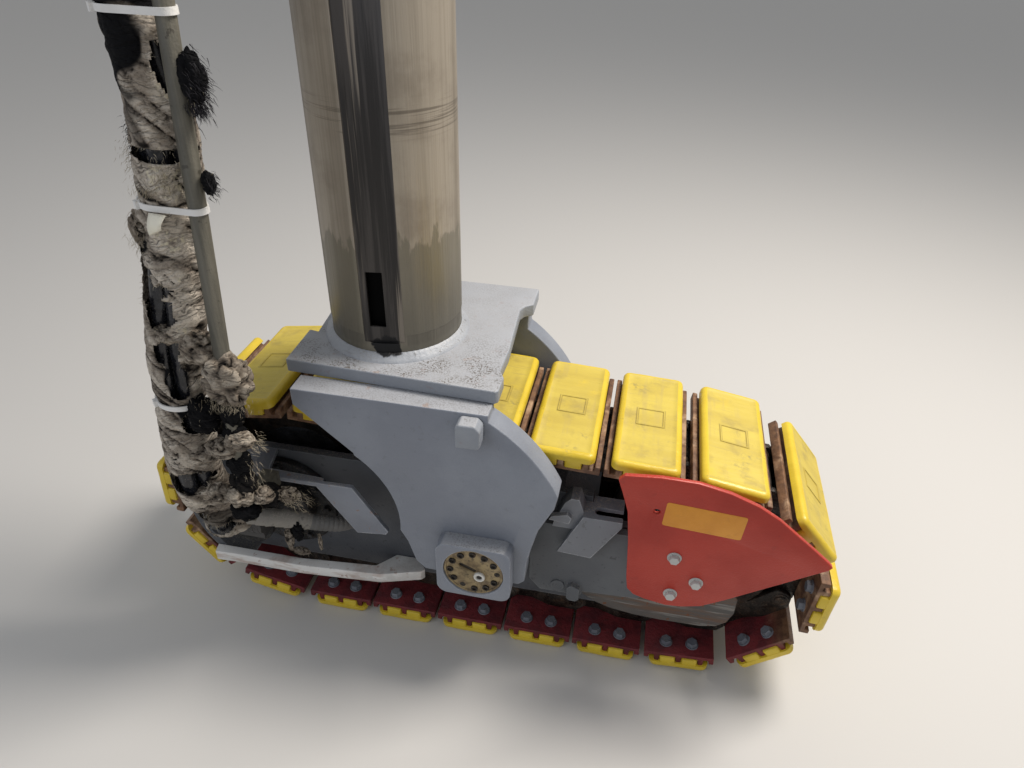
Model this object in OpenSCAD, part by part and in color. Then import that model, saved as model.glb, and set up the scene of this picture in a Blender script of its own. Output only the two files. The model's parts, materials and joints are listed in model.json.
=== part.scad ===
// Crawler track unit of a cold planer, with its fork and lifting column.
// X runs along the track, Y across it away from the outer side, Z up from the ground.
// The origin lies on the ground, straight under the pivot axle.

/* [Track chain] */
// Distance from pin to pin of the chain
chain_pitch = 140; // [136:1:144]
// Number of shoes on the loop
shoe_count = 20; // [18:1:22]
// Teeth of the drive sprocket
sprocket_teeth = 9; // [8:1:10]
// Radius of the pins' path round the idler wheel
idler_pin_r = 187; // [180:1:195]
// Distance that the pivot axle stands ahead of the middle of the loop
pivot_ahead = 8; // [0:1:20]
// Place along the track of the lower pin next to the pivot axle
near_pin_x = 37; // [0:1:70]
// Distance from a pin to the seat of its shoe, and to the tread on the other side
link_half_height = 25; // [22:1:28]
// Thickness of one link plate
link_plate = 12; // [10:1:14]
// Free width between the inner ends of two links
link_gap = 84; // [70:1:90]
// Radius of the bushings between the links
bushing_r = 19; // [15:1:20]

/* [Shoes and pads] */
// Width of the track across its pads
track_width = 280; // [240:1:300]
// Thickness of a shoe's plate
shoe_plate = 8; // [6:1:10]
// Height of the three bars on a shoe
grouser_height = 18; // [12:1:20]
// Width of a shoe's bar at its foot
grouser_width = 12; // [8:1:14]
// Distance between the bars of a shoe
grouser_spacing = 42; // [36:1:44]
// Distance that a shoe's plate stands back from the pad's end
shoe_inset = 4; // [0:1:20]
// Width of the raised lip along each edge of a shoe
lip_width = 9; // [4:1:9]
// Length of a pad along the track
pad_length = 114; // [105:1:120]
// Thickness of a pad over the tips of the bars
pad_cover = 13; // [8:1:30]
// Bevel along the edges of a pad
pad_bevel = 8; // [3:1:10]

/* [Track frame] */
// Half of the width of the welded beam
beam_half = 85; // [80:1:90]
// Thickness of the side plates
side_plate = 16; // [12:1:20]
// Height of the top of the beam
beam_top = 388; // [360:1:395]
// Height of the underside of the beam
beam_bottom = 196; // [192:1:220]
// Height of the lower edge of the side plates
side_bottom = 118; // [110:1:125]
// Depth of the wall round the rear of the outer side plate
rim_depth = 50; // [40:1:60]
// Radius of the pivot axle
axle_r = 45; // [35:1:55]
// Height of the pivot axle over the ground
axle_height = 284; // [270:1:300]
// Number of bottom rollers
roller_count = 4; // [3:1:4]
// Radius of the rollers' treads
roller_r = 45; // [38:1:48]
// Radius of the drive motor's body
motor_r = 78; // [60:1:85]

/* [Fork] */
// Height from the pivot axle to the top of the fork's plate
fork_rise = 349; // [340:1:370]
// Thickness of the fork's top plate
fork_plate = 24; // [18:1:30]
// Half of the free width between the cheeks
cheek_gap = 151; // [148:1:165]
// Thickness of a cheek
cheek_plate = 43; // [30:1:50]
// Width of the square flange round the axle
flange_width = 134; // [124:1:150]
// Height of the square flange round the axle
flange_height = 122; // [118:1:140]
// Thickness of the square flange
flange_depth = 32; // [26:1:40]

/* [Lifting column] */
// Distance from the pivot axle back to the column's axis
column_back = 188; // [170:1:200]
// Outer radius of the column's tube
column_r = 113; // [100:1:120]
// Wall of the column's tube
column_wall = 26; // [20:1:34]
// Height of the tube over the fork's plate
column_rise = 850; // [700:10:1000]
// Width of the key groove
groove_width = 66; // [40:1:75]
// Depth of the key groove
groove_depth = 7; // [4:1:12]
// Radius of the lifting rod
rod_r = 40; // [30:1:50]
// Length of rod that stands out of the gland at rest
rod_out = 140; // [110:5:200]
// Radius of the bore in the rod's eye
eye_bore_r = 25; // [18:1:28]

/* [Guards] */
// Thickness of the cover plates over the front half of the frame
cover_plate = 16; // [10:1:20]
// Thickness of the red guard plate
guard_plate_t = 8; // [5:1:12]
// Distance from the track's middle to the guard's inner face
guard_y = 181; // [165:1:190]

/* [Hoses] */
// Radius of the hose bundle in its sleeve
bundle_r = 42; // [30:1:46]
// Radius of the steel rod that carries the bundle
stay_r = 12; // [8:1:14]

/* [Hidden] */
$fn = 96;

seat_gap = 0.3;         // between a piece and its seat on the same body
running_gap = 0.05;     // between a shaft and its moving bore
side_clear = 5;         // between the frame's bosses and the fork's cheeks

// Chain loop
sprocket_pin_r = chain_pitch / 2 / sin(180 / sprocket_teeth);
pad_teeth = grouser_height;
pin_height = link_half_height + shoe_plate + pad_teeth + pad_cover;
function half_turn(r) = 90 / asin(chain_pitch / 2 / r);
sprocket_turn = half_turn(sprocket_pin_r);
idler_turn = half_turn(idler_pin_r);
run = (shoe_count - sprocket_turn - idler_turn) / 2;
wheelbase = run * chain_pitch;
sprocket_x = -wheelbase / 2 - pivot_ahead;
idler_x = wheelbase / 2 - pivot_ahead;
sprocket_z = pin_height + sprocket_pin_r;
idler_z = pin_height + idler_pin_r;
first_pin = (near_pin_x - sprocket_x) / chain_pitch;
function on_circle(x, z, r, a) = [x + r * cos(a), z + r * sin(a)];
function upper_pin_z(x) = pin_height + 2 * idler_pin_r
    + 2 * (sprocket_pin_r - idler_pin_r) * (idler_x - x) / wheelbase;
// Point of the loop that lies t pitches on from the foot of the sprocket
function loop_point(t) = t >= shoe_count ? loop_point(t - shoe_count)
    : t < run ? [sprocket_x + t * chain_pitch, pin_height]
    : t < run + idler_turn ? on_circle(idler_x, idler_z, idler_pin_r, 180 * (t - run) / idler_turn - 90)
    : t < 2 * run + idler_turn ? let(x = idler_x - (t - run - idler_turn) * chain_pitch) [x, upper_pin_z(x)]
    : on_circle(sprocket_x, sprocket_z, sprocket_pin_r,
        90 + 180 * (t - 2 * run - idler_turn) / sprocket_turn);
function pin(k) = loop_point(first_pin + k);

// Links
link_end = 20;
link_outer = link_gap / 2 + 2 * link_plate + 1;
link_corner = 10;       // flat past the pin on the side of the rollers
shoe_corner = 2;        // flat past the pin on the side of the shoes, which part at a bend
lip_height = 9;         // of the raised lips of a shoe

// Frame
side_face = beam_half + side_plate;
boss_face = cheek_gap - side_clear;
boss_r = axle_r + 34;
roller_z = pin_height + link_half_height + seat_gap + roller_r;
roller_flange_r = roller_r + 8;
roller_first = sprocket_x + sprocket_pin_r + 38;
roller_last = idler_x - idler_pin_r - 18;
beam_rear = sprocket_x + sprocket_pin_r + 20;
beam_front = idler_x - idler_pin_r - 8;
idler_tread_r = idler_pin_r * cos(90 / idler_turn) - link_half_height - seat_gap;
idler_flange_r = idler_pin_r - bushing_r - seat_gap;
idler_axle_r = 30;
yoke_depth = 24;        // that the idler's yoke reaches into the beam
yoke_height = 68;
motor_cover = 42;       // that the drive motor stands out of the side plate
port_cover = 27;        // that its port cover stands out further
port_face = side_face + motor_cover + port_cover;
rear_r = sprocket_pin_r - 15;   // of the side plates' round rear end
rim_wall = 16;
rail_depth = 8;
rail_face = side_face + rail_depth;
cover_face = rail_face + seat_gap + cover_plate;
ledge_height = beam_top - 58;   // of the side plates' upper edge in front of the fork
notch_rear = 190;
notch_front = 296;

// Fork and column
plate_top = axle_height + fork_rise;
plate_bottom = plate_top - fork_plate;
cheek_face = cheek_gap + cheek_plate;
column_top = plate_top + column_rise;
column_foot_r = column_r - 1;   // of the unfinished ring over the weld
column_foot_height = 44;
column_floor = 52;      // closed foot of the tube
groove_from = 30;       // height of the key groove's lower end over the plate
gland_height = 46;
gland_flange = 14;
cap_r = 54;
bash_depth = 19;        // of the skid bar's upper face
cap_sink = 12;          // that the cap lies in its flange
cap_depth = 9;
axle_end = cheek_face + flange_depth - cap_sink - 1;
eye_r = 46;
eye_width = 60;

// Hoses
stay_foot = [-388, -260, 404];
stay_head = [-324, -260, 1330];
stay_lean = atan2(stay_head[0] - stay_foot[0], stay_head[2] - stay_foot[2]);
hose_guard_face = side_face + 75;
ferrule_r = 19;
ferrule_length = 55;
ferrule_place = [-468, -port_face - ferrule_r - seat_gap, 281];

module along_y(from, to) {
    translate([0, to, 0]) rotate([90, 0, 0]) linear_extrude(to - from) children();
}

module at_pitch(k) {
    a = pin(k);
    b = pin(k + 1);
    translate([(a[0] + b[0]) / 2, 0, (a[1] + b[1]) / 2])
        rotate([0, -atan2(b[1] - a[1], b[0] - a[0]), 0]) children();
}

// A pair of forged links: each is narrow at its rear end and wide at its front end
module link_pair() {
    half = chain_pitch / 2;
    inner = link_gap / 2;
    outer = inner + link_plate + 1;
    side = [[-half - link_end, 6], [-half - link_end, -6], [-half - shoe_corner, -link_half_height],
        [half + shoe_corner, -link_half_height], [half + link_end, -6], [half + link_end, 6],
        [half + link_corner, link_half_height], [-half - link_corner, link_half_height]];
    plan = [[-half - link_end, inner], [-20, inner], [20, outer], [half + link_end, outer],
        [half + link_end, outer + link_plate], [16, outer + link_plate], [-24, inner + link_plate],
        [-half - link_end, inner + link_plate]];
    for (s = [-1, 1])
        intersection() {
            along_y(-link_outer, link_outer) polygon(side);
            translate([0, 0, -link_half_height]) linear_extrude(2 * link_half_height)
                polygon([for (p = plan) [p[0], s * p[1]]]);
        }
}

module track_chain() {
    color("#2b2724") for (k = [0 : shoe_count - 1]) at_pitch(k) link_pair();
}

module chain_bushings() {
    color("#3a3531") for (k = [0 : shoe_count - 1])
        translate([pin(k)[0], 0, pin(k)[1]])
            along_y(seat_gap - link_gap / 2, link_gap / 2 - seat_gap) circle(bushing_r, $fn = 8);
}

// A rolled shoe: a plate with three bars on its outer side and a raised lip at each edge
module shoe() {
    top = -link_half_height;
    face = top - shoe_plate;
    tip = face - grouser_height;
    edge = chain_pitch / 2 - 3;
    lip = edge - lip_width;
    foot = grouser_width / 2;
    bars = [for (x = [grouser_spacing, 0, -grouser_spacing])
        each [[x + foot, face], [x + foot - 2, tip], [x - foot + 2, tip], [x - foot, face]]];
    along_y(shoe_inset - track_width / 2, track_width / 2 - shoe_inset)
        polygon(concat([[-edge, top], [edge, top], [edge, face - lip_height], [lip, face - lip_height],
            [lip - 1, face]], bars,
            [[1 - lip, face], [-lip, face - lip_height], [-edge, face - lip_height]]));
}

module track_shoes() {
    color("#6d3a2c") for (k = [0 : shoe_count - 1]) at_pitch(k) shoe();
}

// A cast pad: its teeth fill the gaps between the bars of the shoe
module pad() {
    face = -link_half_height - shoe_plate - seat_gap;
    tip = face - grouser_height;
    ground = -pin_height;
    half = pad_length / 2;
    foot = grouser_width / 2 + seat_gap;
    bars = [for (x = [-grouser_spacing, 0, grouser_spacing])
        each [[x - foot, face], [x - foot, tip], [x + foot, tip], [x + foot, face]]];
    intersection() {
        along_y(-track_width / 2, track_width / 2)
            polygon(concat([[-half, tip + 4], [-grouser_spacing - foot, tip + 4]],
                [for (i = [1 : 10]) bars[i]],
                [[grouser_spacing + foot, tip + 4], [half, tip + 4], [half, ground + pad_bevel],
                [half - pad_bevel, ground], [pad_bevel - half, ground], [-half, ground + pad_bevel]]));
        rotate([90, 0, 90]) linear_extrude(pad_length, center = true)
            polygon([[-track_width / 2, 0], [-track_width / 2, ground + pad_bevel],
                [pad_bevel - track_width / 2, ground], [track_width / 2 - pad_bevel, ground],
                [track_width / 2, ground + pad_bevel], [track_width / 2, 0]]);
    }
}

module track_pads() {
    color("gold") for (k = [0 : shoe_count - 1]) at_pitch(k) pad();
}

module drive_sprocket() {
    first = ceil(2 * run + idler_turn - first_pin);
    p = pin(first);
    phase = atan2(p[1] - sprocket_z, p[0] - sprocket_x);
    color("#37332f") translate([sprocket_x, 0, sprocket_z]) along_y(-20, 20) difference() {
        circle(sprocket_pin_r + 7);
        circle(sprocket_pin_r - 92);
        for (k = [0 : sprocket_teeth - 1]) rotate(phase + 360 * k / sprocket_teeth)
            translate([sprocket_pin_r, 0]) {
                circle(bushing_r + 1, $fn = 24);
                translate([0, -bushing_r - 1]) square([30, 2 * bushing_r + 2]);
            }
    }
}

module final_drive() {
    hub = sprocket_pin_r - 92 - seat_gap;
    color("#4a4a4c") translate([sprocket_x, 0, sprocket_z]) {
        along_y(-20, 20) circle(hub);
        along_y(20, 34) circle(hub + 16);
        along_y(34, beam_half - seat_gap) circle(hub - 10);
    }
}

module drive_motor() {
    flange_face = side_face + 14;
    color("#333436") translate([sprocket_x, 0, sprocket_z]) {
        along_y(-flange_face, -20) circle(motor_r);
        along_y(-flange_face, -side_face - seat_gap) circle(motor_r + 26);
        along_y(-side_face - motor_cover, -flange_face) circle(motor_r - 12);
        along_y(-port_face, -flange_face) translate([-56, -14]) circle(motor_r - 25);
    }
}

module idler_wheel() {
    color("#2f2b28") translate([idler_x, 0, idler_z]) difference() {
        union() {
            along_y(-link_outer, link_outer) circle(idler_tread_r);
            along_y(4 - link_gap / 2, link_gap / 2 - 4) circle(idler_flange_r);
        }
        along_y(-link_outer - 1, link_outer + 1) circle(idler_axle_r + seat_gap);
    }
}

module idler_yoke() {
    arm_in = link_outer + 2;
    arm_out = beam_half - seat_gap;
    color("#3a3a3c") {
        translate([idler_x, 0, idler_z]) along_y(-arm_out, arm_out) circle(idler_axle_r);
        for (s = [-1, 1])
            along_y(s > 0 ? arm_in : -arm_out, s > 0 ? arm_out : -arm_in) {
                translate([idler_x, idler_z]) circle(52);
                translate([beam_front - yoke_depth, idler_z - yoke_height / 2])
                    square([idler_x - beam_front + yoke_depth, yoke_height]);
            }
        translate([beam_front - yoke_depth, -arm_out, idler_z - yoke_height / 2])
            cube([yoke_depth - seat_gap, 2 * arm_out, yoke_height]);
    }
}

module bottom_rollers() {
    step = (roller_last - roller_first) / (roller_count - 1);
    end = beam_half - seat_gap;
    color("#302c29") for (k = [0 : roller_count - 1])
        translate([roller_first + k * step, 0, roller_z]) {
            along_y(-end, end) circle(16);
            along_y(-link_outer - 8, link_outer + 8) circle(roller_r - 12);
            for (s = [-1, 1]) {
                along_y(s > 0 ? 38 : -link_outer, s > 0 ? link_outer : -38) circle(roller_r);
                along_y(s > 0 ? link_outer + 1 : -link_outer - 8, s > 0 ? link_outer + 8 : -link_outer - 1)
                    circle(roller_flange_r);
            }
        }
}

module frame_beam() {
    color("#3f4246") difference() {
        along_y(-beam_half + seat_gap, beam_half - seat_gap) polygon([[beam_rear, beam_bottom + 40],
            [beam_rear + 30, beam_bottom], [beam_front - 20, beam_bottom], [beam_front, beam_bottom + 20],
            [beam_front, beam_top - 60], [beam_front - 60, beam_top], [beam_rear + 60, beam_top],
            [beam_rear, beam_top - 60]]);
        translate([0, 0, axle_height]) along_y(-beam_half, beam_half) circle(axle_r + seat_gap);
        translate([beam_front - yoke_depth - seat_gap, -beam_half, idler_z - yoke_height / 2 - seat_gap])
            cube([yoke_depth + 6, 2 * beam_half, yoke_height + 2 * seat_gap]);
    }
}

module side_outline() {
    upper = beam_top + 4;
    intersection() {
        translate([sprocket_x, sprocket_z]) circle(rear_r);
        translate([sprocket_x - rear_r, side_bottom]) square([2 * rear_r, upper - side_bottom]);
    }
    translate([idler_x, idler_z]) circle(92);
    polygon([[sprocket_x, side_bottom], [idler_x - 40, side_bottom], [idler_x + 30, idler_z - 87],
        [idler_x, idler_z + 92], [idler_x - 60, upper - 10], [notch_front + 8, upper],
        [notch_front, ledge_height], [notch_rear, ledge_height], [notch_rear, upper], [sprocket_x, upper]]);
}

// Wall round the rear end, which shields the hoses
module rear_rim() {
    along_y(-side_face - rim_depth, -side_face) difference() {
        intersection() {
            translate([sprocket_x, sprocket_z]) circle(rear_r);
            translate([sprocket_x - rear_r, side_bottom]) square([rear_r - 70, 265]);
        }
        translate([sprocket_x, sprocket_z]) circle(rear_r - rim_wall);
    }
}

module side_plate_outer() {
    color("#45484c") difference() {
        union() {
            along_y(-side_face, -beam_half) side_outline();
            rear_rim();
            translate([0, 0, axle_height]) along_y(-boss_face, -side_face) circle(boss_r);
        }
        translate([0, 0, axle_height]) along_y(-boss_face - 1, 0) circle(axle_r + seat_gap);
        translate([sprocket_x, 0, sprocket_z]) along_y(-side_face - 1, 0) circle(motor_r + seat_gap);
    }
}

module side_plate_inner() {
    color("#45484c") difference() {
        union() {
            along_y(beam_half, side_face) side_outline();
            translate([0, 0, axle_height]) along_y(side_face, boss_face) circle(boss_r);
        }
        translate([0, 0, axle_height]) along_y(0, boss_face + 1) circle(axle_r + seat_gap);
    }
}

// Boat-shaped wear plates along the lower edge in front, which the chain rubs
module lower_rails() {
    nose = idler_x + 84;
    outline = [[180, 180], [189, 142], [215, 125], [242, 115], [290, 107], [345, 105], [420, 107],
        [nose - 26, 115], [nose - 9, 130], [nose, 158], [nose, 196], [nose - 12, 214], [190, 214]];
    color("#4b4844") for (s = [-1, 1])
        along_y(s > 0 ? side_face : -rail_face, s > 0 ? rail_face : -side_face) polygon(outline);
}

// Cover plates over the frame in front of the fork, held by a bolt and a pin low at the rear
module frame_covers() {
    rear = boss_r + 6;
    near = rail_face + seat_gap;
    outline = [[rear, ledge_height + 4], [rear, 182], [106, 156], [186, 156], [190, 168],
        [notch_front - 4, 174], [notch_front + 8, 186], [notch_front + 8, ledge_height + 4]];
    color("#515356") for (s = [-1, 1]) {
        along_y(s > 0 ? near : -cover_face, s > 0 ? cover_face : -near) polygon(outline);
        along_y(s > 0 ? side_face : -near, s > 0 ? near : -side_face)
            translate([rear, 220]) square([60, 90]);
        translate([141, 0, 178]) along_y(s > 0 ? near : -cover_face - 4, s > 0 ? cover_face + 4 : -near)
            circle(13);
        translate([160, 0, 150]) along_y(s > 0 ? near : -cover_face - 12, s > 0 ? cover_face + 12 : -near)
            polygon([[0, 6], [6, 0], [18, 0], [24, 6], [24, 34], [8, 42], [0, 34]]);
    }
}

module top_slide() {
    rear = -120;
    front = 105;
    under = link_half_height + seat_gap;
    color("#55565a") for (s = [-1, 1])
        along_y(s > 0 ? 44 : -66, s > 0 ? 66 : -44)
            polygon([[rear, beam_top], [front, beam_top], [front, upper_pin_z(front) - under - 6],
                [front - 20, upper_pin_z(front - 20) - under], [rear + 20, upper_pin_z(rear + 20) - under],
                [rear, upper_pin_z(rear) - under - 6]]);
}

module pivot_axle() {
    color("#77706a") translate([0, 0, axle_height]) along_y(-axle_end, axle_end) circle(axle_r);
}

// Bent bracket that stops the fork: a slotted top plate and a slanted flap, beside a cast shoulder
module pitch_stop() {
    outer = boss_face - 2;
    top = beam_top - 8;
    plate = 8;
    foot = ledge_height + 8;
    color("#7d8084") {
        translate([0, 0, top - plate]) linear_extrude(plate) difference() {
            polygon([[172, -side_face - seat_gap], [notch_rear + 2, -side_face - seat_gap],
                [notch_rear + 2, -beam_half], [246, -beam_half], [246, -outer], [178, -outer]]);
            translate([205, -123]) circle(9);
            translate([205, -132]) square([60, 18]);
        }
        along_y(-outer, plate - outer) polygon([[178, top], [246, top], [246, top - 12], [198, top - 98],
            [137, top - 94]]);
        along_y(-outer + 10, -side_face) polygon([[124, foot], [127, foot + 14], [144, top + 18],
            [154, top + 29], [168, top + 29], [178, top], [178, top - plate], [168, foot]]);
        along_y(-outer, -outer + 10) polygon([[118, top - 18], [122, top - 10], [150, top - 1],
            [158, top - 8], [154, top - 22]]);
    }
}

module guard_outline() {
    polygon([[229, 516], [238, 526], [295, 532], [352, 531], [402, 520], [448, 502], [484, 480], [517, 453],
        [550, 426], [575, 405], [581, 398], [576, 390], [560, 379], [485, 322], [430, 280], [396, 257],
        [366, 248], [338, 245], [300, 252], [280, 259], [268, 272], [264, 300], [258, 384], [250, 452],
        [238, 490]]);
}

module guard_plate() {
    color("firebrick") along_y(-guard_y - guard_plate_t, -guard_y) guard_outline();
}

guard_bolts = [[337, 365], [380, 314], [342, 277]];     // along the track and up

module guard_standoffs() {
    color("silver") for (p = guard_bolts)
        translate([p[0], 0, p[1]]) along_y(-guard_y, -side_face) circle(13);
}

// Bent skid bar under the hoses, seated on the rim at its rear and on the side plate in front
module bash_plate() {
    far = side_face + rim_depth + seat_gap;
    near = far + bash_depth;
    seat = side_face + seat_gap;
    color("#8c867e") translate([0, 0, 131]) linear_extrude(24)
        polygon([[-556, -far], [-552, -near - 2], [-509, -near], [-370, -near], [-207, 12 - near],
            [-130, 36 - near], [-124, 44 - near], [-142, -seat], [-190, -seat], [-222, 14 - far],
            [-379, -far]]);
}

// Bent guard over the hoses: a tab on the side plate, a strip and a flap that hangs from it
module hose_guard() {
    outer = hose_guard_face;
    tab = side_face + seat_gap;
    plate = 8;
    color("#a4a7a8") {
        translate([0, 0, beam_top + 4]) mirror([0, 0, 1]) linear_extrude(plate)
            polygon([[-464, -tab], [-411, -tab], [-400, 20 - outer], [-292, 16 - outer], [-292, -outer],
                [-440, -outer], [-464, 26 - outer]]);
        along_y(-outer, plate - outer) polygon([[-300, beam_top + 4], [-233, beam_top + 6], [-172, 298],
            [-177, 290], [-233, 283], [-300, 382]]);
    }
}

module hose_manifold() {
    plate = 13;
    color("#2c2d2f") translate(ferrule_place) {
        translate([-58, -ferrule_r, 0]) cube([116, 2 * ferrule_r, ferrule_r]);
        translate([-56, -ferrule_r / 2, -ferrule_r - plate + 1]) cube([112, 1.5 * ferrule_r, plate]);
        for (x = [-ferrule_length - 2, 2]) translate([x, 0, 0]) rotate([0, 90, 0])
            cylinder(h = ferrule_length, r = ferrule_r);
    }
}

module stay_line(from, to, r) {
    d = to - from;
    translate(from) rotate([0, atan2(d[0], d[2]), 0]) cylinder(h = norm([d[0], d[2]]), r = r);
}

module hose_stay() {
    color("#6b5a4c") {
        stay_line(stay_foot, stay_head, stay_r);
        translate([stay_foot[0] - 11, stay_foot[1] - 14, stay_foot[2] - 26])
            cube([30, -hose_guard_face - seat_gap - stay_foot[1] + 14, 30]);
    }
}

module hose_bulkhead() {
    color("#5c5d60") translate(stay_head + [0, 0, stay_r * sin(stay_lean) + seat_gap]) {
        translate([-135, -30, 0]) cube([160, 110, 8]);
        for (q = [[-103, 10], [-57, 10], [-80, 50]])
            translate([q[0], q[1], 8]) cylinder(h = 34, r = 17, $fn = 6);
    }
}

// Route of the hose bundle, from the bulkhead down to the manifold
bundle_route = [[-404, -232, 1330.8], [-404, -232, 1250], [-398, -232, 1160], [-394, -232, 1060],
    [-398, -233, 980], [-410, -235, 920], [-421, -236, 855], [-437, -238, 775], [-457, -240, 685],
    [-466, -243, 600], [-474, -246, 520], [-475, -249, 450], [-474, -244, 415], [-471, -234, 385],
    [-467, -221, 355], [-465, -214, 330], [-465, -214, ferrule_place[2] + ferrule_r + seat_gap]];
bundle_sides = 12;
// Route of the ribbed hose, from the bundle's side to its port on the side plate
ribbed_route = [[-421.6, -214, 324], [-395, -212, 323], [-366, -200, 314], [-336, -184, 299],
    [-306, -170, 286], [-281, -155, 275], [-267, -138, 267], [-262, -122, 262], [-262, -113, 262]];
ribbed_r = 15;
port_r = 20;

function unit(v) = v / norm(v);
function route_way(route, i, last) = unit(route[min(i + 1, last)] - route[max(i - 1, 0)]);

// Tube swept along a route, with each of its rings square to the route
module swept_tube(route, r, across) {
    last = len(route) - 1;
    n = bundle_sides;
    rings = [for (i = [0 : last])
        let(w = route_way(route, i, last), u = unit(cross(w, across)), v = cross(w, u))
        for (j = [0 : n - 1]) let(a = 360 * j / n) route[i] + r * (cos(a) * u + sin(a) * v)];
    sides = [for (i = [0 : last - 1], j = [0 : n - 1])
        let(k = (j + 1) % n) [i * n + j, (i + 1) * n + j, (i + 1) * n + k, i * n + k]];
    ends = [[for (j = [0 : n - 1]) j], [for (j = [n - 1 : -1 : 0]) last * n + j]];
    polyhedron(rings, concat(sides, ends));
}

module hose_bundle() {
    color("#4d443b") swept_tube(bundle_route, bundle_r, [1, 0, 0]);
}

// Ribbed hose with the screwed port that it ends in
module ribbed_hose() {
    end = ribbed_route[len(ribbed_route) - 1];
    color("#656565") {
        swept_tube(ribbed_route, ribbed_r, [0, 0, 1]);
        translate([end[0], 0, end[2]]) along_y(end[1] - 1, -side_face - seat_gap) circle(port_r, $fn = 6);
    }
}

// Outline of a cheek, measured from the pivot axle: a hollow curve behind, a round shoulder in front
module cheek_outline(shoulder) {
    top = fork_rise - fork_plate;
    rear = -308;
    difference() {
        intersection() {
            polygon([[rear, top], [20, top], [140, top - 60], [138, 186], [132, 151], [107, 96], [97, 52],
                [90, 16], [87, -35], [76, -46], [50, -46], [36, -axle_r - 14], [-36, -axle_r - 14],
                [-50, -46], [-98, -46], [-115, -28], [-128, 19], [-141, 44], [-141, 62], [-212, 62],
                [-212, 208], [rear, 294]]);
            union() {
                translate([-150, 45]) circle(shoulder);
                translate([rear, -axle_r - 20]) square([20 - rear, top + axle_r + 20]);
            }
        }
        translate([-315, 62]) circle(175);
    }
}

module cheek(from, to, shoulder) {
    translate([0, 0, axle_height]) difference() {
        along_y(from, to) cheek_outline(shoulder);
        along_y(from - 1, to + 1) circle(axle_r + running_gap);
    }
}

module cheek_outer() {
    color("#8b8f94") cheek(-cheek_face, -cheek_gap, 317);
}

module cheek_inner() {
    color("#8b8f94") cheek(cheek_gap, cheek_face, 294);
}

module fork_plate_top() {
    color("#8b8f94") translate([0, 0, plate_bottom]) linear_extrude(fork_plate)
        polygon([[-333, 4 - cheek_gap], [23, -cheek_gap - 11], [28, -cheek_gap - 6], [28, -118], [18, -99],
            [20, -40], [11, 108], [17, 123], [32, 134], [31, 199], [-262, 199], [-325, 30], [-318, -50],
            [-335, -47]]);
}

module flange(side) {
    corner = 20;
    w = flange_width / 2;
    h = flange_height / 2;
    far = cheek_face + flange_depth;
    seat = far - cap_sink;
    translate([0, 0, axle_height]) difference() {
        along_y(side > 0 ? cheek_face : -far, side > 0 ? far : -cheek_face) {
            translate([-w, corner - h]) square([2 * w, 2 * h - 2 * corner]);
            translate([corner - w, -h]) square([2 * w - 2 * corner, 2 * h]);
            for (x = [-1, 1], z = [-1, 1]) translate([x * (w - corner), z * (h - corner)]) circle(corner);
        }
        along_y(-far - 1, far + 1) circle(axle_r + running_gap);
        along_y(side > 0 ? seat : -far - 1, side > 0 ? far + 1 : -seat) circle(cap_r + seat_gap);
    }
}

module cap(side) {
    from = cheek_face + flange_depth - cap_sink;
    to = from + cap_depth;
    translate([0, 0, axle_height]) along_y(side > 0 ? from : -to, side > 0 ? to : -from) circle(cap_r);
}

module axle_flange_outer() {
    color("#8b8f94") flange(-1);
}

module axle_flange_inner() {
    color("#8b8f94") flange(1);
}

module axle_cap_outer() {
    color("#9a7f4e") cap(-1);
}

module axle_cap_inner() {
    color("#9a7f4e") cap(1);
}

module lifting_lug() {
    color("#8b8f94") translate([-27, 0, plate_bottom - 49]) along_y(-cheek_face - 28, -cheek_face)
        polygon([[0, 0], [36, 0], [40, 5], [40, 36], [32, 45], [6, 45], [0, 39]]);
}

module column_tube() {
    groove_turn = -82;
    color("#8f8a80") translate([-column_back, 0, plate_top]) difference() {
        union() {
            cylinder(h = column_foot_height, r = column_foot_r);
            translate([0, 0, column_foot_height])
                cylinder(h = column_rise - column_foot_height, r = column_r);
        }
        translate([0, 0, column_floor]) cylinder(h = column_rise, r = column_r - column_wall);
        rotate([0, 0, groove_turn]) translate([column_r - groove_depth, -groove_width / 2, groove_from])
            cube([2 * groove_depth + 20, groove_width, column_rise]);
        rotate([0, 0, groove_turn - 5])
            translate([column_r - groove_depth - 10, -13, column_floor + 6]) cube([40, 26, 96]);
    }
}

module column_weld() {
    color("#a9aba9") translate([-column_back, 0, plate_top]) rotate_extrude()
        polygon([[column_foot_r, 0], [column_r + 17, 0], [column_r + 14, 5], [column_foot_r, 19]]);
}

module column_gland() {
    color("#8d7443") translate([-column_back, 0, column_top]) difference() {
        union() {
            translate([0, 0, -gland_height]) cylinder(h = gland_height, r = column_r - column_wall - seat_gap);
            cylinder(h = gland_flange, r = column_r - 5);
        }
        translate([0, 0, -gland_height - 1])
            cylinder(h = gland_height + gland_flange + 2, r = rod_r + running_gap);
    }
}

module lift_rod() {
    inside = 480;
    piston_r = column_r - column_wall - 3;
    eye_z = column_top + gland_flange + rod_out + eye_r;
    color("#c9ccce") translate([-column_back, 0, 0]) difference() {
        union() {
            translate([0, 0, column_top - inside])
                cylinder(h = inside + gland_flange + rod_out + 12, r = rod_r);
            translate([0, 0, column_top - inside]) cylinder(h = 60, r = piston_r);
            translate([0, 0, eye_z]) along_y(-eye_width / 2, eye_width / 2) circle(eye_r);
        }
        translate([0, 0, eye_z]) along_y(-60, 60) circle(eye_bore_r);
    }
}

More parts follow.
